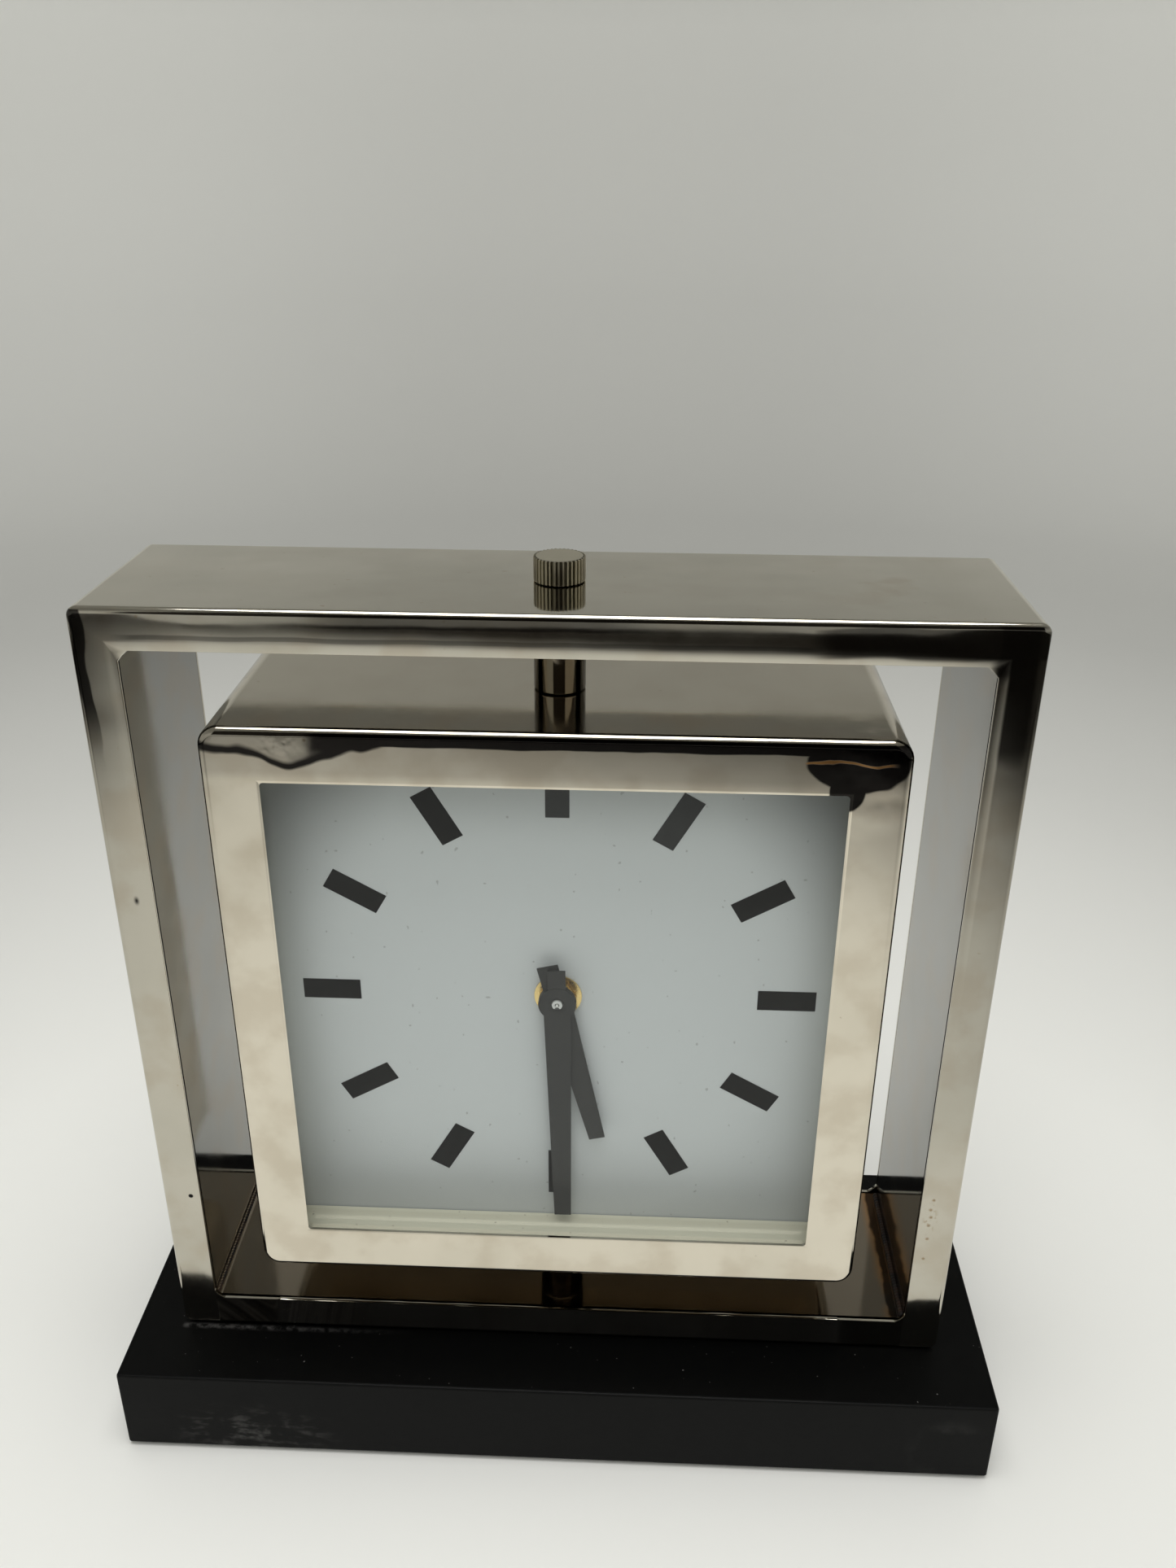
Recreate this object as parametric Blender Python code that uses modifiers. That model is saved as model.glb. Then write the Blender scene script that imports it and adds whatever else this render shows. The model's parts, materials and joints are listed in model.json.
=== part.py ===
"""Swivelling mantel clock: a square clock case that turns on an upright axis inside a square
metal frame, which stands on a black plinth. Metres, +Z up, the dial faces -Y, and the origin
is on the floor under the swivel axis."""

from math import cos, pi, radians, sin, tau

import bmesh
import bpy
from mathutils import Vector

mm = 0.001

# ---------------------------------------------------------------- driving dimensions
gap = 0.3 * mm                      # clearance between pieces that meet
sheet = 1.2 * mm                    # sheet metal of the frame and the case
past = 1 * mm                       # how far a cutter runs past the surface that it cuts

base_side_margin = 16 * mm          # plinth past the frame at each side
base_front_margin = 22.5 * mm       # and at the front and the back
base_height = 33 * mm               # top of the plinth above the floor
base_edge = 1.0 * mm
felt_thickness = 1.0 * mm
felt_inset = 2.0 * mm

frame_width = 254 * mm
frame_height = 254 * mm
frame_depth = 62 * mm
frame_band = 12 * mm                # width of the frame's front face
frame_corner = 4 * mm
frame_edge = 2.5 * mm
opening_corner = 2 * mm
frame_screw_spacing = 160 * mm
frame_screw_radius = 2.5 * mm
frame_screw_head_lip = 2.5 * mm     # head past the shaft, all round
frame_screw_head_height = 3 * mm
frame_screw_recess = 2 * mm         # head up inside the plinth's underside
frame_nut_wall = 1.5 * mm
frame_nut_height = 4 * mm
thread_end = 1 * mm                 # thread that stands out past a nut

case_space = 19.5 * mm              # from the frame's opening to the case, on all sides
case_depth = 70 * mm
case_corner = 6 * mm
case_edge = 2 * mm
bezel_width = 16 * mm
window_corner = 3 * mm

pivot_radius = 3 * mm
pivot_nut_wall = 2 * mm
pivot_nut_height = 5 * mm
bolt_head_lip = 2 * mm
bolt_head_height = 3.5 * mm
bush_wall = 2.7 * mm
sleeve_radius = 7.4 * mm
knob_radius = 7.2 * mm
knob_height = 6.8 * mm
knob_top = 1.8 * mm                 # solid metal over the stud's end
knob_ridges = 36
knob_ridge_depth = 0.35 * mm

glass_thickness = 2 * mm
dial_recess = 20 * mm               # from the bezel's face to the dial's face
dial_thickness = 3 * mm
strip_thickness = 6.2 * mm          # wall of the spacer between glass and dial
strip_corner = 1 * mm
block_width = 12 * mm
cover_thickness = 1.2 * mm
cover_recess = 3 * mm
access_width = 92 * mm
access_corner = 6 * mm
back_screw_radius = 1.5 * mm
back_screw_head_lip = 1.5 * mm
back_screw_head_height = 1.8 * mm
back_screw_length = 14 * mm

movement_width = 56 * mm
movement_depth = 14 * mm
movement_corner = 3 * mm
movement_wall = 1.5 * mm
washer_thickness = 0.8 * mm         # rubber washer behind the dial
washer_radius = 9 * mm
brass_washer_radius = 7.3 * mm
brass_washer_thickness = 0.5 * mm
brass_nut_wall = 1 * mm
brass_nut_height = 1.8 * mm
thread_radius = 4 * mm              # threaded bush through the dial
hour_pipe_radius = 2.6 * mm
minute_pipe_radius = 1.6 * mm
minute_pipe_waist = 1.3 * mm        # its radius inside the movement
second_arbor_radius = 0.4 * mm
arbor_radius = 0.5 * mm
set_arbor_radius = 1.0 * mm
set_knob_radius = 6 * mm
set_knob_height = 3 * mm
set_knob_back = 1 * mm              # solid plastic over the arbor's end
set_knob_ridges = 20
set_knob_ridge_depth = 0.4 * mm

hand_thickness = 0.5 * mm
hand_hub_thickness = 0.8 * mm
hand_hub_radius = 5.8 * mm
hand_spacing = 1.2 * mm             # hour hand's hub to minute hand's hub
minute_hand_clearance = 4.3 * mm    # its tip to the spacer
minute_hand_tail = 12 * mm
minute_hand_root_width = 8.5 * mm
minute_hand_tip_width = 5.4 * mm
minute_hand_tail_width = 5.4 * mm
hour_hand_shorter = 30 * mm         # than the minute hand
hour_hand_tail = 13 * mm
hour_hand_root_width = 8.5 * mm
hour_hand_tip_width = 5.1 * mm
hour_hand_tail_width = 6.5 * mm
minute_hand_angle = 179             # degrees clockwise from twelve
hour_hand_angle = 166.5

battery_radius = 7.25 * mm
battery_length = 49.2 * mm
battery_button_radius = 2.75 * mm
battery_button_height = 1.2 * mm
battery_clearance = 0.55 * mm       # at its sides
contact_width = 8 * mm
contact_thickness = 0.4 * mm
contact_dimple_radius = 2 * mm
contact_dimple_height = 0.2 * mm

# Toothed wheels: tooth counts, modules, and tooth form as shares of module and pitch
addendum = 0.75
dedendum = 1.1
tooth_tip_share = 0.10
tooth_root_share = 0.26
most_pinion_leaves = 12
cannon_teeth = 12
motion_teeth = 36
motion_pinion_teeth = 12
hour_teeth = 48
centre_teeth = 64
third_pinion_teeth = 8
third_teeth = 60
second_pinion_teeth = 8
second_teeth = 40
intermediate_pinion_teeth = 8
intermediate_teeth = 48
rotor_teeth = 8
set_teeth = 12
motion_distance = 7.2 * mm          # centre to motion wheel
third_distance = 9.0 * mm           # centre to third wheel
intermediate_distance = 6.6 * mm    # centre to intermediate wheel
rotor_distance = 6.16 * mm          # intermediate wheel to rotor
motion_direction = 90               # degrees anticlockwise from the right, seen from the front
third_direction = 180
intermediate_direction = 30
rotor_direction = -15
set_direction = 150
magnet_radius = 3 * mm

# Layers inside the movement, from its front wall back
wall_clearance = 0.5 * mm           # front wall to the hour wheel
row_clearance = 0.8 * mm            # between rows of wheels
plate_clearance = 0.6 * mm          # a row of wheels to the middle plate
wheel_thickness = 0.8 * mm
thin_wheel_thickness = 0.6 * mm
pinion_margin = 0.2 * mm            # a pinion past the wheel that it meshes with
middle_plate_thickness = 1 * mm
stator_thickness = 0.8 * mm
core_thickness = 1 * mm
board_thickness = 0.8 * mm
pivot_length = 0.6 * mm             # an arbor's end inside the wall or the cover
pivot_hole_depth = 0.9 * mm
pipe_clearance = 0.1 * mm           # a pipe past the back of its wheel

# The motor and the circuit, placed from the centre axis
coil_x = 20.5 * mm
coil_low = -4.3 * mm
coil_high = 8.3 * mm
coil_radius = 2.4 * mm
coil_space = 1 * mm                 # clear of the plate and the stator round the coil
core_width = 3 * mm
core_clearance = 0.4 * mm
stator_left = 7.3 * mm
stator_right = 24 * mm
stator_low = -8 * mm
stator_high = 12 * mm
stator_arm = 3.2 * mm
board_inset = 1.5 * mm              # from the chamber's walls
board_width = 15.5 * mm
board_height = 12 * mm
crystal_radius = 1 * mm
crystal_length = 6.5 * mm
crystal_inset = 2.5 * mm            # from the board's lower left corner

# ---------------------------------------------------------------- derived places
base_width = frame_width + 2 * base_side_margin
base_depth = frame_depth + 2 * base_front_margin
frame_bottom = base_height + gap
frame_top = frame_bottom + frame_height
dial_centre = frame_bottom + frame_height / 2
opening_width = frame_width - 2 * frame_band
opening_height = frame_height - 2 * frame_band
opening_bottom = frame_bottom + frame_band
opening_top = frame_top - frame_band
case_width = opening_width - 2 * case_space
case_height = opening_height - 2 * case_space
case_bottom = dial_centre - case_height / 2
case_top = dial_centre + case_height / 2

# Depths below are measured forward from the swivel axis.
case_front = case_depth / 2
case_back = -case_depth / 2
inner_width = case_width - 2 * sheet - 2 * gap
inner_height = case_height - 2 * sheet - 2 * gap
inner_corner = case_corner - sheet - gap
glass_front = case_front - sheet - gap
glass_back = glass_front - glass_thickness
dial_front = case_front - dial_recess
dial_back = dial_front - dial_thickness
cover_back = case_back + cover_recess
cover_front = cover_back + cover_thickness
block_offset_x = inner_width / 2 - block_width / 2
block_offset_y = inner_height / 2 - block_width / 2

# Heads, nuts, holes and hands follow what they fit.
frame_screw_head = frame_screw_radius + frame_screw_head_lip
frame_nut_width = 2 * (frame_screw_radius + frame_nut_wall)
pivot_bore = pivot_radius + gap
pivot_nut_width = 2 * (pivot_radius + pivot_nut_wall)
bolt_head_radius = pivot_radius + bolt_head_lip
bush_radius = pivot_bore + bush_wall
back_screw_head = back_screw_radius + back_screw_head_lip
arbor_bore = arbor_radius + gap
brass_nut_width = 2 * (thread_radius + brass_nut_wall)
minute_hand_length = (min(inner_width, inner_height) / 2 - strip_thickness
                      - minute_hand_clearance)
hour_hand_length = minute_hand_length - hour_hand_shorter

movement_front = dial_back - gap - washer_thickness - gap
movement_back = movement_front - movement_depth
chamber_front = movement_front - movement_wall
chamber_half = movement_width / 2 - movement_wall
bay_height = 2 * (battery_radius + battery_clearance)
bay_bottom = -chamber_half
bay_top = bay_bottom + bay_height
chamber_bottom = bay_top + movement_wall
chamber_top = chamber_half
nut_front = dial_front + gap + brass_washer_thickness + gap + brass_nut_height
thread_front = nut_front + gap
hour_hand_back = thread_front + gap
minute_hand_back = hour_hand_back + hand_spacing
hour_pipe_front = minute_hand_back - gap
minute_pipe_front = minute_hand_back + hand_hub_thickness + gap
second_arbor_front = minute_pipe_front + gap


def behind(depth, clearance, thickness):
    """Back and front of a flat layer that starts a clearance behind this depth."""
    front = depth - clearance
    return front - thickness, front


def overhanging(wheel_layer):
    """The layer of a pinion that stands out a little at both faces of the wheel it drives."""
    return wheel_layer[0] - pinion_margin, wheel_layer[1] + pinion_margin


hour_layer = behind(chamber_front, wall_clearance, wheel_thickness)
motion_layer = behind(hour_layer[0], row_clearance, wheel_thickness)
motion_pinion_layer = (motion_layer[0], hour_layer[1])
cannon_layer = overhanging(motion_layer)
centre_layer = behind(motion_layer[0], row_clearance, wheel_thickness)
third_pinion_layer = overhanging(centre_layer)
third_layer = behind(centre_layer[0], row_clearance, wheel_thickness)
second_pinion_layer = overhanging(third_layer)
middle_layer = behind(third_layer[0], plate_clearance, middle_plate_thickness)
second_layer = behind(middle_layer[0], plate_clearance, wheel_thickness)
intermediate_pinion_layer = overhanging(second_layer)
intermediate_layer = behind(second_layer[0], row_clearance, thin_wheel_thickness)
rotor_layer = overhanging(intermediate_layer)
stator_layer = behind(middle_layer[0], plate_clearance, stator_thickness)
magnet_layer = overhanging(stator_layer)
core_layer = behind(stator_layer[0], gap, core_thickness)
board_layer = behind(middle_layer[0], plate_clearance, board_thickness)
cover_layer = (movement_back - gap - movement_wall, movement_back - gap)

# ---------------------------------------------------------------- scene set-up
for old in list(bpy.data.objects):
    bpy.data.objects.remove(old, do_unlink=True)

parts = bpy.data.collections.new("mantel_clock")
cutters = bpy.data.collections.new("cutters")
bpy.context.scene.collection.children.link(parts)
bpy.context.scene.collection.children.link(cutters)

finishes = {
    "polished_nickel": ((0.62, 0.60, 0.56), 0.08, 1.0),
    "black_paint": ((0.015, 0.015, 0.016), 0.45, 0.0),
    "felt": ((0.03, 0.03, 0.03), 0.95, 0.0),
    "steel": ((0.55, 0.55, 0.55), 0.35, 1.0),
    "nylon": ((0.85, 0.84, 0.80), 0.5, 0.0),
    "glass": ((0.95, 0.97, 0.96), 0.02, 0.0),
    "foam_board": ((0.72, 0.71, 0.60), 0.8, 0.0),
    "dial_paint": ((0.70, 0.72, 0.74), 0.6, 0.0),
    "wood": ((0.55, 0.40, 0.25), 0.7, 0.0),
    "hand_black": ((0.05, 0.05, 0.05), 0.5, 0.0),
    "brass": ((0.75, 0.58, 0.28), 0.25, 1.0),
    "black_plastic": ((0.03, 0.03, 0.03), 0.5, 0.0),
    "white_plastic": ((0.80, 0.80, 0.78), 0.5, 0.0),
    "rubber": ((0.02, 0.02, 0.02), 0.8, 0.0),
    "circuit_green": ((0.05, 0.25, 0.10), 0.5, 0.0),
    "copper": ((0.72, 0.35, 0.18), 0.35, 1.0),
    "magnet": ((0.12, 0.12, 0.13), 0.4, 1.0),
    "battery_wrap": ((0.12, 0.14, 0.20), 0.35, 0.2),
}


def material(finish):
    """The Principled material of a finish, made the first time that it is asked for."""
    if finish in bpy.data.materials:
        return bpy.data.materials[finish]
    colour, roughness, metallic = finishes[finish]
    made = bpy.data.materials.new(finish)
    made.use_nodes = True
    shader = made.node_tree.nodes["Principled BSDF"]
    shader.inputs["Base Color"].default_value = (*colour, 1.0)
    shader.inputs["Roughness"].default_value = roughness
    shader.inputs["Metallic"].default_value = metallic
    return made


def axis_empty(name, location, parent=None):
    """An empty on a joint's axis, which carries the pieces that turn about it."""
    empty = bpy.data.objects.new(name, None)
    empty.empty_display_size = 0.02
    parts.objects.link(empty)
    empty.parent = parent
    start = Vector(parent["world"]) if parent else Vector((0, 0, 0))
    empty.location = Vector(location) - start
    empty["world"] = list(location)
    return empty


# ---------------------------------------------------------------- outlines
def circle(radius, centre=(0, 0), steps=24):
    turns = [tau * step / steps for step in range(steps)]
    return [(centre[0] + radius * cos(t), centre[1] + radius * sin(t)) for t in turns]


def hexagon(across_flats):
    return circle(across_flats / (2 * cos(pi / 6)), steps=6)


def rectangle(left, right, bottom, top):
    return [(left, bottom), (right, bottom), (right, top), (left, top)]


def rounded_rectangle(width, height, radius, centre=(0, 0), steps=3):
    """Four corner arcs joined by straight sides."""
    points = []
    for quarter in range(4):
        across = 1 if quarter in (0, 3) else -1
        upward = 1 if quarter in (0, 1) else -1
        corner_x = centre[0] + across * (width / 2 - radius)
        corner_y = centre[1] + upward * (height / 2 - radius)
        for step in range(steps + 1):
            angle = (quarter + step / steps) * pi / 2
            points.append((corner_x + radius * cos(angle), corner_y + radius * sin(angle)))
    return points


def ridged(radius, ridges, depth):
    """A knurled rim: flat-topped ridges with a groove between them."""
    points = []
    for ridge in range(ridges):
        for share, inset in ((0.0, 0), (0.45, 0), (0.72, depth)):
            angle = tau * (ridge + share) / ridges
            points.append(((radius - inset) * cos(angle), (radius - inset) * sin(angle)))
    return points


def toothed(teeth, module, phase):
    """A gear's outline, with a tooth centred at the angle phase. Pinions have flat-topped
    leaves, and the fine teeth of the larger wheels come to a point."""
    pitch = tau / teeth
    tip = teeth * module / 2 + addendum * module
    root = teeth * module / 2 - dedendum * module
    if teeth <= most_pinion_leaves:
        corners = ((root, -tooth_root_share), (tip, -tooth_tip_share),
                   (tip, tooth_tip_share), (root, tooth_root_share))
    else:
        corners = ((root, -tooth_root_share), (tip, 0), (root, tooth_root_share))
    points = []
    for tooth in range(teeth):
        for radius, share in corners:
            angle = phase + (tooth + share) * pitch
            points.append((radius * cos(angle), radius * sin(angle)))
    return points


def step_from(start, distance, direction):
    """The point at a distance from start, in a direction given in degrees."""
    turn = radians(direction)
    return start[0] + distance * cos(turn), start[1] + distance * sin(turn)


def meshed_phase(teeth, phase, direction, next_teeth):
    """The phase that lets the next wheel's teeth stand between this wheel's teeth."""
    turn = radians(direction)
    share = (phase - turn) / (tau / teeth)
    return turn + pi + (0.5 - share) * tau / next_teeth


# ---------------------------------------------------------------- solids
def new_object(name, mesh):
    made = bpy.data.objects.new(name, mesh)
    cutters.objects.link(made)
    return made


def extruded(name, loops, low, high):
    """A flat outline, with holes where inner loops are given, extruded from low to high."""
    curve = bpy.data.curves.new(name, "CURVE")
    curve.dimensions = "2D"
    curve.fill_mode = "BOTH"
    curve.extrude = (high - low) / 2
    for points in loops:
        spline = curve.splines.new("POLY")
        spline.points.add(len(points) - 1)
        for point, (x, y) in zip(spline.points, points):
            point.co = (x, y, 0, 1)
        spline.use_cyclic_u = True
    flat = new_object(name + " outline", curve)
    bpy.context.view_layer.update()
    evaluated = flat.evaluated_get(bpy.context.evaluated_depsgraph_get())
    mesh = bpy.data.meshes.new_from_object(evaluated)
    bpy.data.objects.remove(flat, do_unlink=True)
    shape = bmesh.new()
    shape.from_mesh(mesh)
    bmesh.ops.remove_doubles(shape, verts=shape.verts, dist=1e-7)
    bmesh.ops.translate(shape, verts=shape.verts, vec=(0, 0, (high + low) / 2))
    bmesh.ops.recalc_face_normals(shape, faces=shape.faces)
    shape.to_mesh(mesh)
    shape.free()
    return new_object(name, mesh)


def rod(name, start, end, radius, segments=24):
    """A round bar between two points."""
    start = Vector(start)
    along = Vector(end) - start
    shape = bmesh.new()
    bmesh.ops.create_cone(shape, cap_ends=True, segments=segments, radius1=radius,
                          radius2=radius, depth=along.length)
    turn = along.to_track_quat("Z", "Y").to_matrix().to_4x4()
    bmesh.ops.transform(shape, matrix=turn, verts=shape.verts)
    bmesh.ops.translate(shape, verts=shape.verts, vec=start + along / 2)
    mesh = bpy.data.meshes.new(name)
    shape.to_mesh(mesh)
    shape.free()
    return new_object(name, mesh)


def block(name, low, high):
    """A box between two corners."""
    shape = bmesh.new()
    bmesh.ops.create_cube(shape, size=1)
    size = Vector(high) - Vector(low)
    bmesh.ops.scale(shape, verts=shape.verts, vec=size)
    bmesh.ops.translate(shape, verts=shape.verts, vec=Vector(low) + size / 2)
    mesh = bpy.data.meshes.new(name)
    shape.to_mesh(mesh)
    shape.free()
    return new_object(name, mesh)


def turned(name, profile, bored=False, segments=24):
    """A profile of (radius, height) points, top to bottom on its outer side, spun about Z."""
    shape = bmesh.new()
    points = [shape.verts.new((radius, 0, height)) for radius, height in profile]
    for first, second in zip(points, points[1:]):
        shape.edges.new((first, second))
    if bored:
        shape.edges.new((points[-1], points[0]))
    mesh = bpy.data.meshes.new(name)
    shape.to_mesh(mesh)
    shape.free()
    made = new_object(name, mesh)
    spin = made.modifiers.new("Spin", "SCREW")
    spin.axis = "Z"
    spin.steps = segments
    spin.render_steps = segments
    spin.use_merge_vertices = True
    spin.merge_threshold = 1e-6
    return made


def headed(name, tip, head_seat, head_end, shaft_radius, head_radius, segments=20):
    """A screw or bolt along Z, its head between head_seat and head_end, below its tip."""
    profile = [(0, tip), (shaft_radius, tip), (shaft_radius, head_seat),
               (head_radius, head_seat), (head_radius, head_end), (0, head_end)]
    return turned(name, profile, segments=segments)


def rounded(target, width, segments):
    """Round the square edges of a piece."""
    edge = target.modifiers.new("Edge", "BEVEL")
    edge.width = width
    edge.segments = segments
    edge.limit_method = "ANGLE"
    edge.angle_limit = radians(60)


def combine(target, tool, operation):
    """Cut a tool out of a piece, or join it on. The tool shares the piece's own frame."""
    change = target.modifiers.new(tool.name, "BOOLEAN")
    change.operation = operation
    change.solver = "EXACT"
    change.object = tool
    tool.parent = target
    tool.hide_render = True
    tool.display_type = "WIRE"


def cut(target, *holes):
    for hole in holes:
        combine(target, hole, "DIFFERENCE")


def join(target, *pieces):
    for piece in pieces:
        combine(target, piece, "UNION")


def finish(piece, body, finish_name, location=(0, 0, 0), faces_front=False, clockwise=0):
    """Give a piece its material and put it on its body. A piece that faces the front is drawn
    flat, X to the right and Y up, with its Z towards the viewer."""
    cutters.objects.unlink(piece)
    parts.objects.link(piece)
    piece.data.materials.clear()
    piece.data.materials.append(material(finish_name))
    piece.data.shade_smooth()
    piece.data.set_sharp_from_angle(angle=radians(35))
    piece.parent = body
    piece.location = Vector(location) - Vector(body["world"])
    if faces_front:
        piece.rotation_euler = (pi / 2, radians(clockwise), 0)
    return piece


def dial_place(point=(0, 0)):
    """World place of a point given on the dial, from its centre."""
    return point[0], 0, dial_centre + point[1]


# ---------------------------------------------------------------- bodies
floor_body = axis_empty("stand", (0, 0, 0))
case_body = axis_empty("swivel_axis", (0, 0, 0), floor_body)


# ---------------------------------------------------------------- plinth
def make_plinth():
    half_width = base_width / 2
    half_depth = base_depth / 2
    felt = block("base_felt", (-half_width + felt_inset, -half_depth + felt_inset, 0),
                 (half_width - felt_inset, half_depth - felt_inset, felt_thickness))
    finish(felt, floor_body, "felt")
    bottom = felt_thickness + gap
    plinth = block("base_plinth", (-half_width, -half_depth, bottom),
                   (half_width, half_depth, base_height))
    rounded(plinth, base_edge, 2)
    recess_top = bottom + frame_screw_recess + frame_screw_head_height
    for side, x in (("left", -frame_screw_spacing / 2), ("right", frame_screw_spacing / 2)):
        head_hole = rod(f"head hole {side}", (x, 0, 0), (x, 0, recess_top + gap),
                        frame_screw_head + gap)
        shaft_hole = rod(f"shaft hole {side}", (x, 0, recess_top), (x, 0, base_height + past),
                         frame_screw_radius + gap)
        cut(plinth, head_hole, shaft_hole)
        nut_low = frame_bottom + sheet + gap
        screw = headed(f"frame_screw_{side}", nut_low + frame_nut_height + thread_end,
                       recess_top, recess_top - frame_screw_head_height,
                       frame_screw_radius, frame_screw_head)
        finish(screw, floor_body, "steel", (x, 0, 0))
        nut = extruded(f"frame_nut_{side}",
                       [hexagon(frame_nut_width), circle(frame_screw_radius + gap, steps=20)],
                       nut_low, nut_low + frame_nut_height)
        finish(nut, floor_body, "steel", (x, 0, 0))
    head_low = base_height - bolt_head_height - gap
    cut(plinth, rod("bolt head hole", (0, 0, head_low), (0, 0, base_height + past),
                    bolt_head_radius + gap))
    finish(plinth, floor_body, "black_paint")


# ---------------------------------------------------------------- outer frame
def make_frame():
    half = frame_depth / 2
    shell = extruded("frame_shell", [rounded_rectangle(frame_width, frame_height, frame_corner)],
                     -half, half)
    rounded(shell, frame_edge, 2)
    hollow = extruded("frame hollow",
                      [rounded_rectangle(frame_width - 2 * sheet, frame_height - 2 * sheet,
                                         frame_corner - sheet)],
                      -half + sheet, half - sheet)
    opening = extruded("frame opening",
                       [rounded_rectangle(opening_width, opening_height, opening_corner)],
                       -half - past, half + past)
    inner_side = opening_height / 2
    outer_side = frame_height / 2 + past
    pivot_hole = rod("frame pivot hole", (0, -outer_side, 0), (0, outer_side, 0),
                     pivot_bore)
    cut(shell, hollow, opening, pivot_hole)
    for x in (-frame_screw_spacing / 2, frame_screw_spacing / 2):
        cut(shell, rod(f"frame screw hole {x:.3f}", (x, -outer_side, 0), (x, -inner_side, 0),
                       frame_screw_radius + gap))
    finish(shell, floor_body, "polished_nickel", dial_place(), faces_front=True)

    liner = extruded("frame_liner",
                     [rounded_rectangle(opening_width + 2 * sheet, opening_height + 2 * sheet,
                                        opening_corner + sheet),
                      rounded_rectangle(opening_width, opening_height, opening_corner)],
                     -half + sheet + gap, half - sheet - gap)
    cut(liner, rod("liner pivot hole", (0, -outer_side, 0), (0, outer_side, 0),
                   pivot_bore))
    finish(liner, floor_body, "polished_nickel", dial_place(), faces_front=True)

    low_bush = (frame_bottom + sheet + gap, opening_bottom - sheet - gap)
    high_bush = (opening_top + sheet + gap, frame_top - sheet - gap)
    for name, (low, high) in (("bottom_bush", low_bush), ("top_bush", high_bush)):
        bush = ring(name, bush_radius, pivot_bore, low, high)
        finish(bush, floor_body, "nylon")


def ring(name, radius, bore, low, high, segments=24):
    """A plain ring about Z."""
    profile = [(radius, high), (radius, low), (bore, low), (bore, high)]
    return turned(name, profile, bored=True, segments=segments)


# ---------------------------------------------------------------- swivel
def make_swivel():
    knob_low = frame_top + gap
    knob = extruded("swivel_knob", [ridged(knob_radius, knob_ridges, knob_ridge_depth)],
                    knob_low, knob_low + knob_height)
    stud_top = knob_low + knob_height - knob_top
    cut(knob, rod("stud hole", (0, 0, knob_low - past), (0, 0, stud_top + gap), pivot_bore))
    finish(knob, case_body, "polished_nickel")

    nut_high = case_top - sheet - gap
    nut_low = nut_high - pivot_nut_height
    stud = rod("top_stud", (0, 0, nut_low - thread_end), (0, 0, stud_top), pivot_radius)
    finish(stud, case_body, "steel")
    nut_outline = [hexagon(pivot_nut_width), circle(pivot_bore)]
    finish(extruded("top_nut", nut_outline, nut_low, nut_high), case_body, "steel")
    sleeve = ring("top_sleeve", sleeve_radius, pivot_bore, case_top + gap,
                  opening_top - gap, segments=32)
    finish(sleeve, case_body, "polished_nickel")

    nut_low = case_bottom + sheet + gap
    nut_high = nut_low + pivot_nut_height
    head_seat = base_height
    bolt = headed("bottom_bolt", nut_high + thread_end, head_seat, head_seat - bolt_head_height,
                  pivot_radius, bolt_head_radius, segments=24)
    finish(bolt, case_body, "steel")
    finish(extruded("bottom_nut", nut_outline, nut_low, nut_high), case_body, "steel")
    sleeve = ring("bottom_sleeve", sleeve_radius, pivot_bore, opening_bottom + gap,
                  case_bottom - gap, segments=32)
    finish(sleeve, case_body, "polished_nickel")


# ---------------------------------------------------------------- case
def make_case():
    spare = 2 * case_edge
    shell = extruded("case_shell", [rounded_rectangle(case_width, case_height, case_corner)],
                     case_back - spare, case_front)
    rounded(shell, case_edge, 2)
    hollow = extruded("case hollow",
                      [rounded_rectangle(case_width - 2 * sheet, case_height - 2 * sheet,
                                         case_corner - sheet)],
                      case_back - 2 * spare, case_front - sheet)
    trim = block("case trim", (-case_width, -case_height, case_back - 3 * spare),
                 (case_width, case_height, case_back))
    window = extruded("case window",
                      [rounded_rectangle(case_width - 2 * bezel_width,
                                         case_height - 2 * bezel_width, window_corner)],
                      case_front - 2 * sheet, case_front + past)
    outer_side = case_height / 2 + past
    pivot_hole = rod("case pivot hole", (0, -outer_side, 0), (0, outer_side, 0),
                     pivot_bore)
    cut(shell, trim, hollow, window, pivot_hole)
    finish(shell, case_body, "polished_nickel", dial_place(), faces_front=True)

    inside = rounded_rectangle(inner_width, inner_height, inner_corner)
    glass = extruded("glass_pane", [inside], glass_back, glass_front)
    finish(glass, case_body, "glass", dial_place(), faces_front=True)
    clear_view = rounded_rectangle(inner_width - 2 * strip_thickness,
                                   inner_height - 2 * strip_thickness, strip_corner, steps=1)
    spacer = extruded("window_spacer", [inside, clear_view], dial_front + gap, glass_back - gap)
    finish(spacer, case_body, "foam_board", dial_place(), faces_front=True)
    dial = extruded("dial_plate", [inside, circle(thread_radius + gap)], dial_back, dial_front)
    finish(dial, case_body, "dial_paint", dial_place(), faces_front=True)


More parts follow.
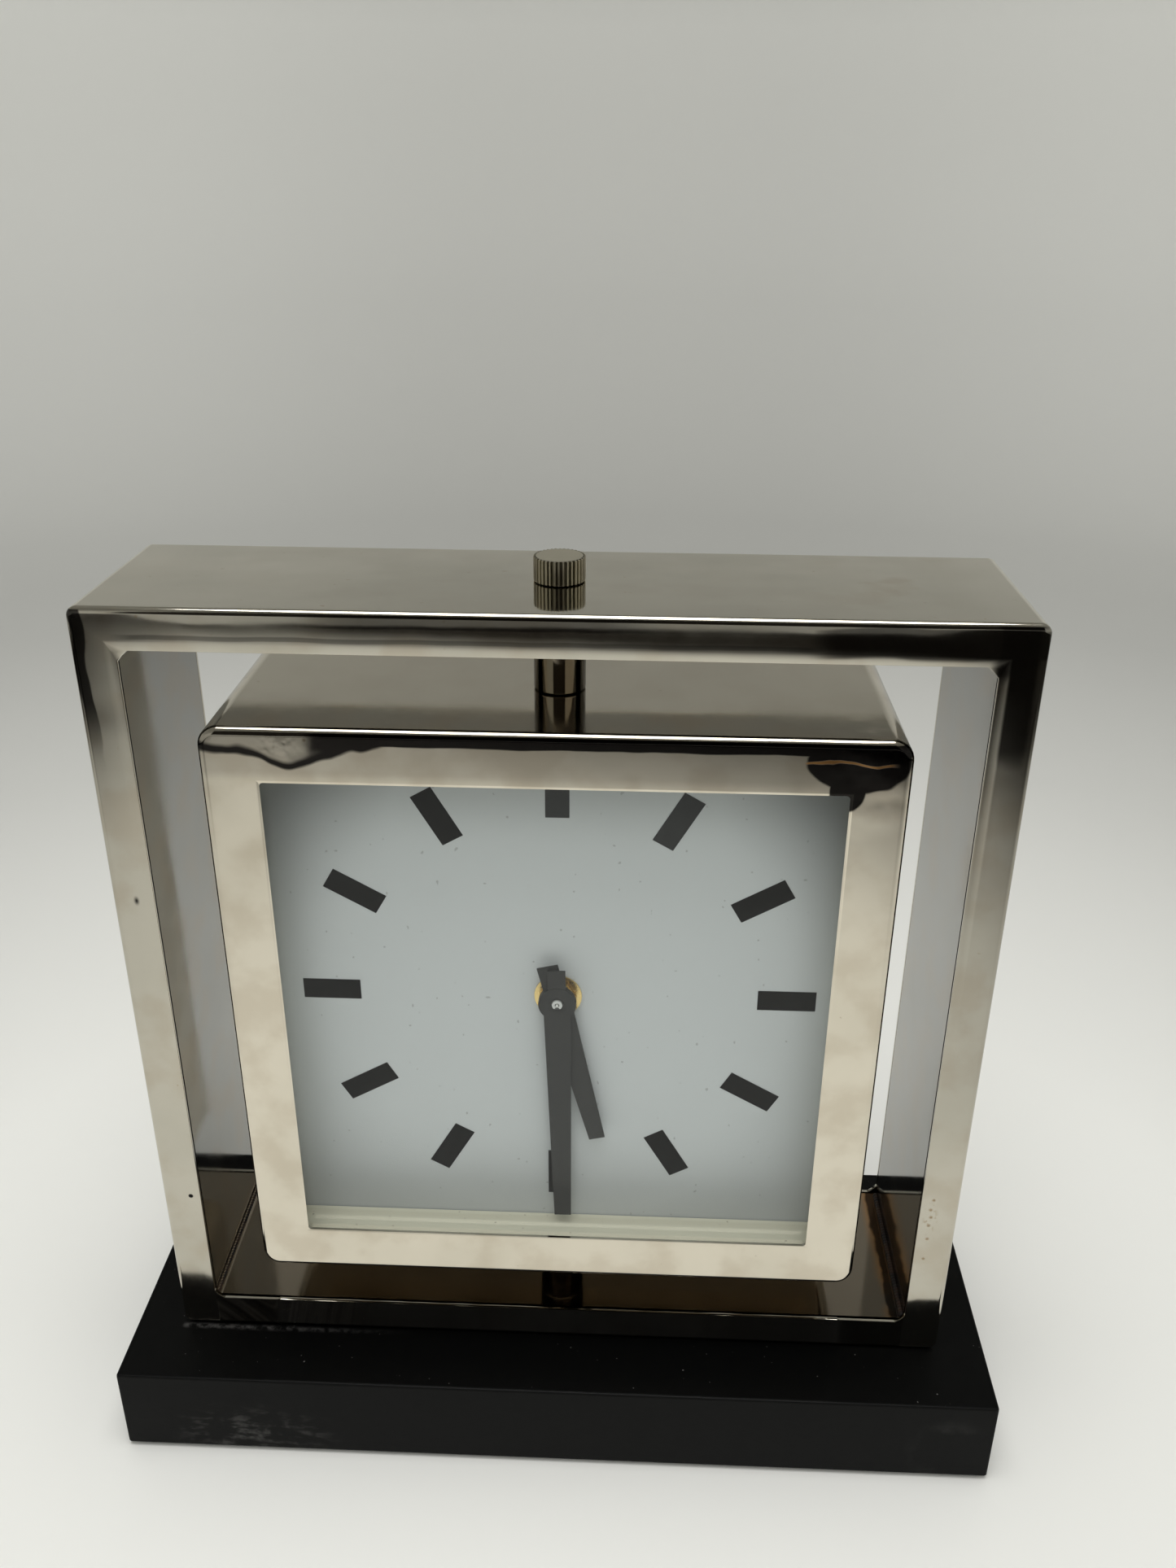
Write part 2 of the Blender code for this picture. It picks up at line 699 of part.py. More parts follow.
def make_back():
    screw_holes = []
    corners = ((-1, -1), (1, -1), (1, 1), (-1, 1))
    head_seat = cover_back - gap
    for number, (across, upward) in enumerate(corners, start=1):
        centre = (across * block_offset_x, upward * block_offset_y)
        outline = rounded_rectangle(block_width, block_width, inner_corner)
        corner = extruded(f"corner_block_{number}", [outline], cover_front + gap,
                          dial_back - gap)
        tip = head_seat + back_screw_length
        cut(corner, rod(f"block hole {number}", (0, 0, cover_front), (0, 0, tip + gap),
                        back_screw_radius + gap, segments=16))
        finish(corner, case_body, "wood", dial_place(centre), faces_front=True)
        screw = headed(f"back_screw_{number}", tip, head_seat,
                       head_seat - back_screw_head_height, back_screw_radius, back_screw_head,
                       segments=16)
        finish(screw, case_body, "steel", dial_place(centre), faces_front=True)
        screw_holes.append(circle(back_screw_radius + gap, centre, steps=16))
    access = rounded_rectangle(access_width, access_width, access_corner)
    outline = rounded_rectangle(inner_width, inner_height, inner_corner)
    cover = extruded("back_cover", [outline, access, *screw_holes], cover_back, cover_front)
    finish(cover, case_body, "black_paint", dial_place(), faces_front=True)


# ---------------------------------------------------------------- movement: fixed pieces
centre_axis = (0, 0)
motion_axis = step_from(centre_axis, motion_distance, motion_direction)
third_axis = step_from(centre_axis, third_distance, third_direction)
intermediate_axis = step_from(centre_axis, intermediate_distance, intermediate_direction)
rotor_axis = step_from(intermediate_axis, rotor_distance, rotor_direction)
set_axis = step_from(motion_axis, motion_distance, set_direction)


def at_front(point, depth):
    return point[0], point[1], depth


def movement_piece(piece, finish_name, point=(0, 0), body=case_body):
    return finish(piece, body, finish_name, dial_place(point), faces_front=True)


def make_movement_housing():
    housing = extruded("movement_housing",
                       [rounded_rectangle(movement_width, movement_width, movement_corner)],
                       movement_back, movement_front)
    open_back = movement_back - past
    chamber = block("gear chamber", (-chamber_half, chamber_bottom, open_back),
                    (chamber_half, chamber_top, chamber_front))
    bay = block("battery bay", (-chamber_half, bay_bottom, open_back),
                (chamber_half, bay_top, chamber_front))
    thread_hole = rod("thread hole", (0, 0, chamber_front - past), (0, 0, movement_front + past),
                      thread_radius + gap)
    cut(housing, chamber, bay, thread_hole)
    post_back = centre_layer[1] + gap
    join(housing, rod("motion post", at_front(motion_axis, post_back),
                      at_front(motion_axis, chamber_front + movement_wall / 2), arbor_radius,
                      segments=12))
    for name, point in (("third", third_axis), ("set", set_axis)):
        cut(housing, rod(f"{name} pivot", at_front(point, chamber_front - past),
                         at_front(point, chamber_front + pivot_hole_depth), arbor_bore,
                         segments=12))
    movement_piece(housing, "black_plastic")

    width = movement_width
    height = movement_width / 2 - chamber_bottom + movement_wall
    middle = (0, movement_width / 2 - height / 2)
    holes = [circle(arbor_bore, point, steps=12)
             for point in (centre_axis, third_axis, intermediate_axis, rotor_axis)]
    holes.append(circle(set_arbor_radius + gap, set_axis, steps=16))
    cover = extruded("movement_cover",
                     [rounded_rectangle(width, height, movement_corner, middle), *holes],
                     *cover_layer)
    movement_piece(cover, "black_plastic")

    bush = ring("threaded_bush", thread_radius, hour_pipe_radius + gap,
                chamber_front, thread_front)
    movement_piece(bush, "brass")
    rubber = ring("rubber_washer", washer_radius, thread_radius + gap,
                  dial_back - gap - washer_thickness, dial_back - gap)
    movement_piece(rubber, "rubber")
    washer_low = dial_front + gap
    washer_high = washer_low + brass_washer_thickness
    washer = ring("brass_washer", brass_washer_radius, thread_radius + gap, washer_low,
                  washer_high)
    movement_piece(washer, "brass")
    nut = extruded("brass_nut", [hexagon(brass_nut_width), circle(thread_radius + gap)],
                   washer_high + gap, nut_front)
    movement_piece(nut, "brass")


def make_middle_plate():
    outline = rectangle(-chamber_half + gap, chamber_half - gap, chamber_bottom + gap,
                        chamber_top - gap)
    coil_window = rectangle(coil_x - coil_radius - coil_space, coil_x + coil_radius + coil_space,
                            coil_low - coil_space, coil_high + coil_space)
    holes = [circle(second_arbor_radius + gap, centre_axis, steps=12),
             circle(arbor_bore, third_axis, steps=12),
             circle(arbor_bore, intermediate_axis, steps=12),
             circle(arbor_bore, rotor_axis, steps=12),
             circle(set_arbor_radius + gap, set_axis, steps=16)]
    plate = extruded("middle_plate", [outline, coil_window, *holes], *middle_layer)
    movement_piece(plate, "white_plastic")


def make_drive():
    """The circuit and the motor's fixed pieces."""
    notch_left = coil_x - coil_radius - coil_space
    outline = [(stator_left, stator_low), (stator_right, stator_low),
               (stator_right, stator_low + stator_arm), (notch_left, stator_low + stator_arm),
               (notch_left, stator_high - stator_arm), (stator_right, stator_high - stator_arm),
               (stator_right, stator_high), (stator_left, stator_high)]
    stator = extruded("stator", [outline, circle(magnet_radius + gap, rotor_axis)],
                      *stator_layer)
    movement_piece(stator, "steel")
    core = block("coil_core", (coil_x - core_width / 2, stator_low, core_layer[0]),
                 (coil_x + core_width / 2, stator_high, core_layer[1]))
    movement_piece(core, "steel")
    depth = sum(core_layer) / 2
    winding = ring("coil_winding", coil_radius, core_width / 2 + core_clearance, coil_low,
                   coil_high, segments=20)
    finish(winding, case_body, "copper", (coil_x, -depth, dial_centre))

    board_left = -chamber_half + board_inset
    board_low = chamber_top - board_inset - board_height
    board = block("circuit_board", (board_left, board_low, board_layer[0]),
                  (board_left + board_width, board_low + board_height, board_layer[1]))
    movement_piece(board, "circuit_green")
    crystal_depth = board_layer[0] - gap - crystal_radius
    crystal_left = board_left + crystal_inset
    crystal_height = board_low + crystal_inset
    crystal = rod("quartz_crystal", (crystal_left, crystal_height, crystal_depth),
                  (crystal_left + crystal_length, crystal_height, crystal_depth),
                  crystal_radius, segments=12)
    movement_piece(crystal, "steel")


def make_battery():
    height = (bay_bottom + bay_top) / 2
    depth = chamber_front - gap - battery_radius
    half = (battery_length + battery_button_height) / 2
    shoulder = half - battery_button_height
    battery = turned("battery", [(0, half), (battery_button_radius, half),
                                 (battery_button_radius, shoulder), (battery_radius, shoulder),
                                 (battery_radius, -half), (0, -half)], segments=28)
    battery.rotation_euler = (0, pi / 2, 0)
    finish(battery, case_body, "battery_wrap", (0, -depth, dial_centre + height))
    outer = chamber_half - gap
    for name, side in (("battery_contact_positive", 1), ("battery_contact_negative", -1)):
        inner = outer - contact_thickness
        low_x, high_x = sorted((side * inner, side * outer))
        leaf = block(name, (low_x, height - contact_width / 2, depth - contact_width / 2),
                     (high_x, height + contact_width / 2, depth + contact_width / 2))
        dimple = rod(name + " dimple", (side * (inner - contact_dimple_height), height, depth),
                     (side * (inner + contact_thickness / 2), height, depth),
                     contact_dimple_radius, segments=12)
        join(leaf, dimple)
        movement_piece(leaf, "steel")


# ---------------------------------------------------------------- movement: turning pieces
def module_of(distance, teeth, next_teeth):
    """The module that puts two wheels in mesh at this distance."""
    return 2 * distance / (teeth + next_teeth)


cannon_module = module_of(motion_distance, cannon_teeth, motion_teeth)
hour_module = module_of(motion_distance, motion_pinion_teeth, hour_teeth)
centre_module = module_of(third_distance, centre_teeth, third_pinion_teeth)
third_module = module_of(third_distance, third_teeth, second_pinion_teeth)
second_module = module_of(intermediate_distance, second_teeth, intermediate_pinion_teeth)
intermediate_module = module_of(rotor_distance, intermediate_teeth, rotor_teeth)

cannon_phase = 0.0
motion_phase = meshed_phase(cannon_teeth, cannon_phase, motion_direction, motion_teeth)
motion_pinion_phase = 0.0
hour_phase = meshed_phase(motion_pinion_teeth, motion_pinion_phase, motion_direction + 180,
                          hour_teeth)
set_phase = meshed_phase(motion_teeth, motion_phase, set_direction, set_teeth)
centre_phase = 0.0
third_pinion_phase = meshed_phase(centre_teeth, centre_phase, third_direction,
                                  third_pinion_teeth)
third_phase = 0.0
second_pinion_phase = meshed_phase(third_teeth, third_phase, third_direction + 180,
                                   second_pinion_teeth)
second_phase = 0.0
intermediate_pinion_phase = meshed_phase(second_teeth, second_phase, intermediate_direction,
                                         intermediate_pinion_teeth)
intermediate_phase = 0.0
rotor_phase = meshed_phase(intermediate_teeth, intermediate_phase, rotor_direction, rotor_teeth)


def wheel(name, teeth, module, phase, thickness_layer, bore=None):
    """A flat toothed wheel, with a bore where its arbor is a pipe."""
    loops = [toothed(teeth, module, phase)]
    if bore:
        loops.append(circle(bore, steps=16))
    return extruded(name, loops, *thickness_layer)


def pivoted_shaft(name, radius, back, front):
    return rod(name, (0, 0, back), (0, 0, front), radius, segments=12)


def turning_body(name, point):
    return axis_empty(name, dial_place(point), case_body)


def make_hand(name, length, tail, root_width, tip_width, tail_width, back, bore):
    """A baton hand that points to twelve, with a round hub."""
    half_root = root_width / 2
    half_tip = tip_width / 2
    half_tail = tail_width / 2
    outline = [(-half_tail, -tail), (half_tail, -tail), (half_tail, 0), (half_root, 0),
               (half_tip, length), (-half_tip, length), (-half_root, 0), (-half_tail, 0)]
    blade_back = back + (hand_hub_thickness - hand_thickness) / 2
    hand = extruded(name, [outline], blade_back, blade_back + hand_thickness)
    hub = extruded(name + " hub", [circle(hand_hub_radius, steps=32)], back,
                   back + hand_hub_thickness)
    join(hand, hub)
    cut(hand, rod(name + " bore", (0, 0, back - past),
                  (0, 0, back + hand_hub_thickness + past), bore))
    return hand


def make_motion_work():
    """Minute and hour hands, and the three wheels that gear them together."""
    minute_body = turning_body("minute_axis", centre_axis)
    waist_top = (hour_layer[0] - pipe_clearance + cannon_layer[1]) / 2
    pipe_bore = second_arbor_radius + gap
    pipe_back = centre_layer[0] - pipe_clearance
    arbor = turned("minute_arbor",
                   [(minute_pipe_radius, minute_pipe_front), (minute_pipe_radius, waist_top),
                    (minute_pipe_waist, waist_top), (minute_pipe_waist, pipe_back),
                    (pipe_bore, pipe_back), (pipe_bore, minute_pipe_front)],
                   bored=True, segments=20)
    inside_wall = (pipe_bore + minute_pipe_waist) / 2
    join(arbor,
         wheel("centre wheel", centre_teeth, centre_module, centre_phase, centre_layer,
               inside_wall),
         wheel("cannon pinion", cannon_teeth, cannon_module, cannon_phase, cannon_layer,
               inside_wall))
    movement_piece(arbor, "white_plastic", body=minute_body)
    minute_hand = make_hand("minute_hand", minute_hand_length, minute_hand_tail,
                            minute_hand_root_width, minute_hand_tip_width,
                            minute_hand_tail_width, minute_hand_back, minute_pipe_radius + gap)
    finish(minute_hand, minute_body, "hand_black", dial_place(), faces_front=True,
           clockwise=minute_hand_angle)

    hour_body = turning_body("hour_axis", centre_axis)
    hour_bore = minute_pipe_radius + gap
    pipe = ring("hour_wheel", hour_pipe_radius, hour_bore, hour_layer[0] - pipe_clearance,
                hour_pipe_front, segments=20)
    join(pipe, wheel("hour teeth", hour_teeth, hour_module, hour_phase, hour_layer,
                     (hour_bore + hour_pipe_radius) / 2))
    movement_piece(pipe, "white_plastic", body=hour_body)
    hour_hand = make_hand("hour_hand", hour_hand_length, hour_hand_tail, hour_hand_root_width,
                          hour_hand_tip_width, hour_hand_tail_width, hour_hand_back,
                          hour_pipe_radius + gap)
    finish(hour_hand, hour_body, "hand_black", dial_place(), faces_front=True,
           clockwise=hour_hand_angle)

    motion_body = turning_body("motion_axis", motion_axis)
    motion = wheel("motion_wheel", motion_pinion_teeth, hour_module, motion_pinion_phase,
                   motion_pinion_layer, arbor_bore)
    join(motion, wheel("motion teeth", motion_teeth, cannon_module, motion_phase, motion_layer,
                       arbor_bore + pinion_margin))
    movement_piece(motion, "white_plastic", motion_axis, motion_body)

    set_body = turning_body("set_axis", set_axis)
    knob_front = cover_layer[0] - gap
    knob_back = knob_front - set_knob_height
    set_arbor = pivoted_shaft("set_arbor", set_arbor_radius, knob_back + set_knob_back,
                              cannon_layer[1])
    join(set_arbor,
         pivoted_shaft("set pivot", arbor_radius, cannon_layer[0], chamber_front + pivot_length),
         wheel("set teeth", set_teeth, cannon_module, set_phase, cannon_layer))
    movement_piece(set_arbor, "white_plastic", set_axis, set_body)
    knob_outline = ridged(set_knob_radius, set_knob_ridges, set_knob_ridge_depth)
    knob = extruded("set_knob", [knob_outline], knob_back, knob_front)
    cut(knob, rod("set knob bore", (0, 0, knob_back + set_knob_back - gap),
                  (0, 0, knob_front + past),
                  set_arbor_radius + gap, segments=16))
    movement_piece(knob, "black_plastic", set_axis, set_body)


def make_going_train():
    """Third, second and intermediate wheels, and the motor's rotor."""
    pivot_back = cover_layer[1] - pivot_length
    wall_pivot = chamber_front + pivot_length
    plate_pivot = middle_layer[0] + pivot_length

    third_body = turning_body("third_axis", third_axis)
    third = pivoted_shaft("third_wheel", arbor_radius, pivot_back, wall_pivot)
    join(third,
         wheel("third teeth", third_teeth, third_module, third_phase, third_layer),
         wheel("third pinion", third_pinion_teeth, centre_module, third_pinion_phase,
               third_pinion_layer))
    movement_piece(third, "white_plastic", third_axis, third_body)

    second_body = turning_body("second_axis", centre_axis)
    second = pivoted_shaft("second_wheel", second_arbor_radius, pivot_back, second_arbor_front)
    join(second,
         wheel("second teeth", second_teeth, second_module, second_phase, second_layer),
         wheel("second pinion", second_pinion_teeth, third_module, second_pinion_phase,
               second_pinion_layer))
    movement_piece(second, "white_plastic", body=second_body)

    intermediate_body = turning_body("intermediate_axis", intermediate_axis)
    intermediate = pivoted_shaft("intermediate_wheel", arbor_radius, pivot_back, plate_pivot)
    join(intermediate,
         wheel("intermediate teeth", intermediate_teeth, intermediate_module,
               intermediate_phase, intermediate_layer),
         wheel("intermediate pinion", intermediate_pinion_teeth, second_module,
               intermediate_pinion_phase, intermediate_pinion_layer))
    movement_piece(intermediate, "white_plastic", intermediate_axis, intermediate_body)

    rotor_body = turning_body("rotor_axis", rotor_axis)
    rotor = pivoted_shaft("rotor_pinion", second_arbor_radius, pivot_back, plate_pivot)
    join(rotor, wheel("rotor teeth", rotor_teeth, intermediate_module, rotor_phase,
                      rotor_layer))
    movement_piece(rotor, "white_plastic", rotor_axis, rotor_body)
    magnet = ring("rotor_magnet", magnet_radius, second_arbor_radius + gap, *magnet_layer,
                  segments=20)
    movement_piece(magnet, "magnet", rotor_axis, rotor_body)


make_plinth()
make_frame()
make_swivel()
make_case()
make_back()
make_movement_housing()
make_middle_plate()
make_drive()
make_battery()
make_motion_work()
make_going_train()
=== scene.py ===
import json
from math import cos, pi, radians, sin, tau

import bmesh
import bpy
from mathutils import Matrix, Vector

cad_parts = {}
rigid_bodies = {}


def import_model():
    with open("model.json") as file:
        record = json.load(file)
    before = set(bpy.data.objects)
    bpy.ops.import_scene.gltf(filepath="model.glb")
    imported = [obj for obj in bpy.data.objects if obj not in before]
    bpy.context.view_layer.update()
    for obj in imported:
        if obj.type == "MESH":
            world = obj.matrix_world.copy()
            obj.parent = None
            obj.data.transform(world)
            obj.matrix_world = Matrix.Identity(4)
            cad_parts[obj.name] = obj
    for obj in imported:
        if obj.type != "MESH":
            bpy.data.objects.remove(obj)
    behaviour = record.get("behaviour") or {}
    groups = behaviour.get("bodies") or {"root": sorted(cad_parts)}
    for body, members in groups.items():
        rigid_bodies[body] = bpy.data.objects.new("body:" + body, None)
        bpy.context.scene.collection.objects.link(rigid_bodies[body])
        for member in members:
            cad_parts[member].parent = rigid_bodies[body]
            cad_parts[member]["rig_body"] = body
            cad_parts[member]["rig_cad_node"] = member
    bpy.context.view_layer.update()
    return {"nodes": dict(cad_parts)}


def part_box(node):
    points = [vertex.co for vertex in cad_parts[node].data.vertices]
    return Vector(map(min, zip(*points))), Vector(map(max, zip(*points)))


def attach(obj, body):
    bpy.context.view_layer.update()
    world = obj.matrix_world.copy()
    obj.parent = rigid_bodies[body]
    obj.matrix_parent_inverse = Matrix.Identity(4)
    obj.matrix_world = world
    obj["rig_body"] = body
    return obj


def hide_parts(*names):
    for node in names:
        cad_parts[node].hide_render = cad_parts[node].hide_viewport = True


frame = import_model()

mm = 0.001


# ================================================================ the floor and its sweep
# The clock stands on a pale floor that curves up into a wall all round, so that every side
# has the same plain ground. Light falloff is painted into its colour: palest round the clock,
# greyer further out, pale again at the wall's foot, and a little lighter behind at either side.
class Signal:
    """A shader socket that can be added, subtracted and multiplied like a number."""

    def __init__(self, socket):
        self.socket = socket

    def _math(self, operation, first, second):
        tree = self.socket.id_data
        node = tree.nodes.new("ShaderNodeMath")
        node.operation = operation
        for socket, term in zip(node.inputs, (first, second)):
            if isinstance(term, Signal):
                tree.links.new(term.socket, socket)
            else:
                socket.default_value = term
        return Signal(node.outputs[0])

    def __add__(self, other):
        return self._math("ADD", self, other)

    def __radd__(self, other):
        return self._math("ADD", other, self)

    def __sub__(self, other):
        return self._math("SUBTRACT", self, other)

    def __rsub__(self, other):
        return self._math("SUBTRACT", other, self)

    def __mul__(self, other):
        return self._math("MULTIPLY", self, other)

    def __rmul__(self, other):
        return self._math("MULTIPLY", other, self)

    def __pow__(self, power):
        return self._math("POWER", self, power)

    def at_least(self, other):
        return self._math("MAXIMUM", self, other)


class Finish:
    """A material whose nodes are added one by one."""

    def __init__(self, name):
        self.material = bpy.data.materials.new(name)
        self.material.use_nodes = True
        self.tree = self.material.node_tree
        self.tree.nodes.clear()

    def node(self, kind, settings=None, sockets=None, output=0):
        """A node of this kind, with its settings made before its sockets are fed."""
        made = self.tree.nodes.new("ShaderNode" + kind)
        for setting, value in (settings or {}).items():
            if setting == "stops":
                set_stops(made.color_ramp.elements, value)
            else:
                setattr(made, setting, value)
        for socket, value in (sockets or {}).items():
            if isinstance(value, Signal):
                self.tree.links.new(value.socket, made.inputs[socket])
            elif made.inputs[socket].type == "RGBA":
                made.inputs[socket].default_value = (*value, 1.0)
            else:
                made.inputs[socket].default_value = value
        return Signal(made.outputs[output]) if made.outputs else None

    def place(self):
        return self.node("TexCoord", output="Object")

    def along(self, axis):
        """The place along X, Y or Z, in metres."""
        return self.node("SeparateXYZ", sockets={"Vector": self.place()}, output=axis)

    def noise(self, scale, detail=2.0, stretch=(1, 1, 1)):
        moved = self.node("Mapping", sockets={"Vector": self.place(), "Scale": stretch})
        return self.node("TexNoise", sockets={"Vector": moved, "Scale": scale, "Detail": detail})

    def step(self, signal, low, high):
        """0 where the signal is at low, 1 where it is at high, and smooth between."""
        return self.node("MapRange", {"interpolation_type": "SMOOTHSTEP"},
                         {"Value": signal, "From Min": low, "From Max": high})

    def off(self, signal, centre):
        """How far the signal is from a value, either way."""
        return self.node("Math", {"operation": "ABSOLUTE"}, {0: signal - centre})

    def strip(self, signal, centre, outer, inner):
        """1 within inner of the centre, and 0 from outer on."""
        return self.step(self.off(signal, centre), outer, inner)

    def spot(self, centre, radius, stretch=(1, 1, 1)):
        """1 at a point of the piece, falling to 0 at this radius."""
        middle = [c * s for c, s in zip(centre, stretch)]
        moved = self.node("Mapping", sockets={"Vector": self.place(), "Scale": stretch})
        away = self.node("VectorMath", {"operation": "DISTANCE"}, {0: moved, 1: middle}, "Value")
        return self.step(away, radius, 0)

    def blend(self, share, first, second):
        """The first colour where share is 0, and the second where it is 1."""
        return self.node("Mix", {"data_type": "RGBA"}, {0: share, 6: first, 7: second}, 2)

    def bump(self, height, depth, below=None):
        sockets = {"Height": height, "Distance": depth, "Strength": 1.0}
        if below:
            sockets["Normal"] = below
        return self.node("Bump", sockets=sockets)

    def principled(self, **sockets):
        """Close the material with a Principled surface; underscores stand for spaces."""
        named = {name.replace("_", " "): value for name, value in sockets.items()}
        return self.close(self.node("BsdfPrincipled", sockets=named))

    def close(self, surface):
        self.node("OutputMaterial", sockets={"Surface": surface})
        return self.material


def set_stops(elements, stops):
    while len(elements) < len(stops):
        elements.new(1.0)
    for element, (position, level) in zip(elements, stops):
        element.position = position
        element.color = (level, level, level, 1.0)


def begin(name, primitive, **settings):
    """A primitive alone in the selection, with its place in its mesh, open in edit mode."""
    bpy.ops.object.select_all(action="DESELECT")
    getattr(bpy.ops.mesh, f"primitive_{primitive}_add")(**settings)
    piece = bpy.context.object
    piece.name = name
    bpy.ops.object.transform_apply(location=True, rotation=True, scale=True)
    bpy.ops.object.mode_set(mode="EDIT")
    return piece


def pick(piece, kind, test):
    """Select only the faces, edges or vertices that pass a test."""
    bpy.ops.mesh.select_mode(type={"faces": "FACE", "edges": "EDGE", "verts": "VERT"}[kind])
    bpy.ops.mesh.select_all(action="DESELECT")
    shape = bmesh.from_edit_mesh(piece.data)
    shape.normal_update()
    for element in getattr(shape, kind):
        if test(element):
            element.select_set(True)
    shape.select_flush_mode()
    bmesh.update_edit_mesh(piece.data)


floor_radius = 1.05
sweep_radius = 0.45
wall_top = 1.7
sweep_steps = 12

ground = begin("studio_floor", "circle", vertices=96, radius=floor_radius, fill_type="NGON")
pick(ground, "edges", lambda edge: edge.is_boundary)
reach, height = floor_radius, 0.0
for step in range(1, sweep_steps + 2):
    turn = min(step / sweep_steps, 1) * pi / 2
    next_reach = floor_radius + sweep_radius * sin(turn)
    next_height = sweep_radius * (1 - cos(turn)) if step <= sweep_steps else wall_top
    bpy.ops.mesh.extrude_region_move(
        TRANSFORM_OT_translate={"value": (0, 0, next_height - height)})
    growth = next_reach / reach
    bpy.ops.transform.resize(value=(growth, growth, 1), center_override=(0, 0, next_height))
    reach, height = next_reach, next_height
bpy.ops.mesh.select_all(action="SELECT")
bpy.ops.mesh.normals_make_consistent(inside=True)
bpy.ops.object.mode_set(mode="OBJECT")
bpy.ops.object.shade_smooth()

paint = Finish("studio_paint")
from_clock = paint.node("VectorMath", {"operation": "LENGTH"}, {0: paint.place()}, "Value")
# painted light: the floor's colour falls from palest round the clock to greyer further out
shade = paint.node("ValToRGB",
                   {"stops": ((0.0, 0.86), (0.15, 0.85), (0.32, 0.66), (0.50, 0.55),
                              (0.64, 0.54), (0.80, 0.66), (0.875, 0.78), (0.93, 0.56))},
                   {"Fac": from_clock * 0.55})
# painted light: the ground behind is a little lighter at either side
painted_light_behind = (paint.step(paint.off(paint.along("X"), 0.0), 0.15, 0.7)
                  * paint.step(paint.along("Y"), 0.6, 1.3))
shade = shade + 0.09 * painted_light_behind
tinted = paint.node("Mix", {"data_type": "RGBA", "blend_type": "MULTIPLY"},
                    {0: 1.0, 6: shade, 7: (1.0, 1.0, 0.958)}, 2)
ground.data.materials.append(paint.principled(Base_Color=tinted, Roughness=0.7))


# ================================================================ dark cards in front
# Two unlit cards that only mirrors see: one lies on the floor in front and to the sides, the
# other stands upright a metre in front. Polished metal needs something dark to reflect.
def card(plane, finish):
    """Leave edit mode, and hide the card from all but mirrors."""
    bpy.ops.object.mode_set(mode="OBJECT")
    plane.data.materials.append(finish)
    plane.visible_camera = False
    plane.visible_diffuse = False
    plane.visible_transmission = False
    plane.visible_shadow = False


def dark_where(name, cover):
    """A black that covers what is behind it by a share."""
    black = Finish(name)
    share = cover(black)
    dark = black.node("Emission", sockets={"Color": (0.020, 0.018, 0.015), "Strength": 1.0})
    clear = black.node("BsdfTransparent")
    return black.close(black.node("MixShader", sockets={0: share, 1: clear, 2: dark}))


def floor_cover(black):
    """Darkest in front and to the right, and dark along both sides."""
    across, away = black.along("X"), black.along("Y")
    front = black.step(0.479 * across - 0.878 * away, 0.32, 0.72)
    left = black.step(0 - across, 0.22, 0.52) * black.step(0 - away, 0.30, 0.62)
    sides = black.step(0 - across, 0.60, 0.85).at_least(black.step(across, 0.55, 0.85))
    return front.at_least(left).at_least(sides * black.step(away, 0.45, 0.15))


def wall_cover(black):
    """Dark over its lower three quarters, and fading out toward its top."""
    return black.step(black.along("Z"), wall_card_top, 0.75 * wall_card_top)


floor_card_size = 2.0
floor_card_centre = (0, -0.5, 1 * mm)
floor_card = begin("floor_card", "plane", size=floor_card_size, location=floor_card_centre)
card(floor_card, dark_where("floor_card_black", floor_cover))

wall_card_width = 2.0
wall_card_top = 1.35
wall_card_distance = 1.0
wall_card = begin("wall_card", "plane", size=1, rotation=(pi / 2, 0, 0),
                  scale=(wall_card_width, wall_card_top, 1),
                  location=(0, -wall_card_distance, wall_card_top / 2))
card(wall_card, dark_where("wall_card_black", wall_cover))


# ================================================================ lights and camera
# A softbox straight above, a fill from the front that mirrors don't see, and an even pale sky
# over the open top of the sweep. The camera looks down on the clock from the front.
def area_light(name, place, target, power):
    """A round light a metre across that faces a target."""
    lamp = bpy.data.lights.new(name, "AREA")
    lamp.shape = "DISK"
    lamp.size = 1.0
    lamp.energy = power
    made = bpy.data.objects.new(name, lamp)
    bpy.context.scene.collection.objects.link(made)
    made.location = place
    made.rotation_euler = (Vector(target) - Vector(place)).to_track_quat("-Z", "Y").to_euler()
    return made


area_light("softbox", (-0.02, -0.15, 1.55), (0, 0, 0.1), 15.0)
fill = area_light("front_fill", (0.0, -0.9, 1.3), (0, 0, 0.15), 5.0)
fill.visible_glossy = False

world = bpy.data.worlds.new("sky")
world.use_nodes = True
world.node_tree.nodes["Background"].inputs["Color"].default_value = (0.98, 1.0, 1.0, 1)
world.node_tree.nodes["Background"].inputs["Strength"].default_value = 2.0
bpy.context.scene.world = world
bpy.context.scene.view_settings.view_transform = "Standard"

camera_place = Vector((22.0, -354.6, 394.3)) * mm
camera_pitch = radians(25.49)
camera_yaw = radians(-2.23)
camera_roll = radians(0.34)
camera_lens = 30.46

forward = Vector((sin(camera_yaw) * cos(camera_pitch), cos(camera_yaw) * cos(camera_pitch),
                  -sin(camera_pitch)))
level = Vector((cos(camera_yaw), -sin(camera_yaw), 0))
upward = level.cross(forward)
right = cos(camera_roll) * level + sin(camera_roll) * upward
upright = cos(camera_roll) * upward - sin(camera_roll) * level
lens = bpy.data.cameras.new("camera")
lens.lens = camera_lens
lens.sensor_width = 36
lens.clip_start = 0.01
camera = bpy.data.objects.new("camera", lens)
bpy.context.scene.collection.objects.link(camera)
facing = Matrix((right, upright, -forward)).transposed().to_4x4()
camera.matrix_world = Matrix.Translation(camera_place) @ facing
bpy.context.scene.camera = camera


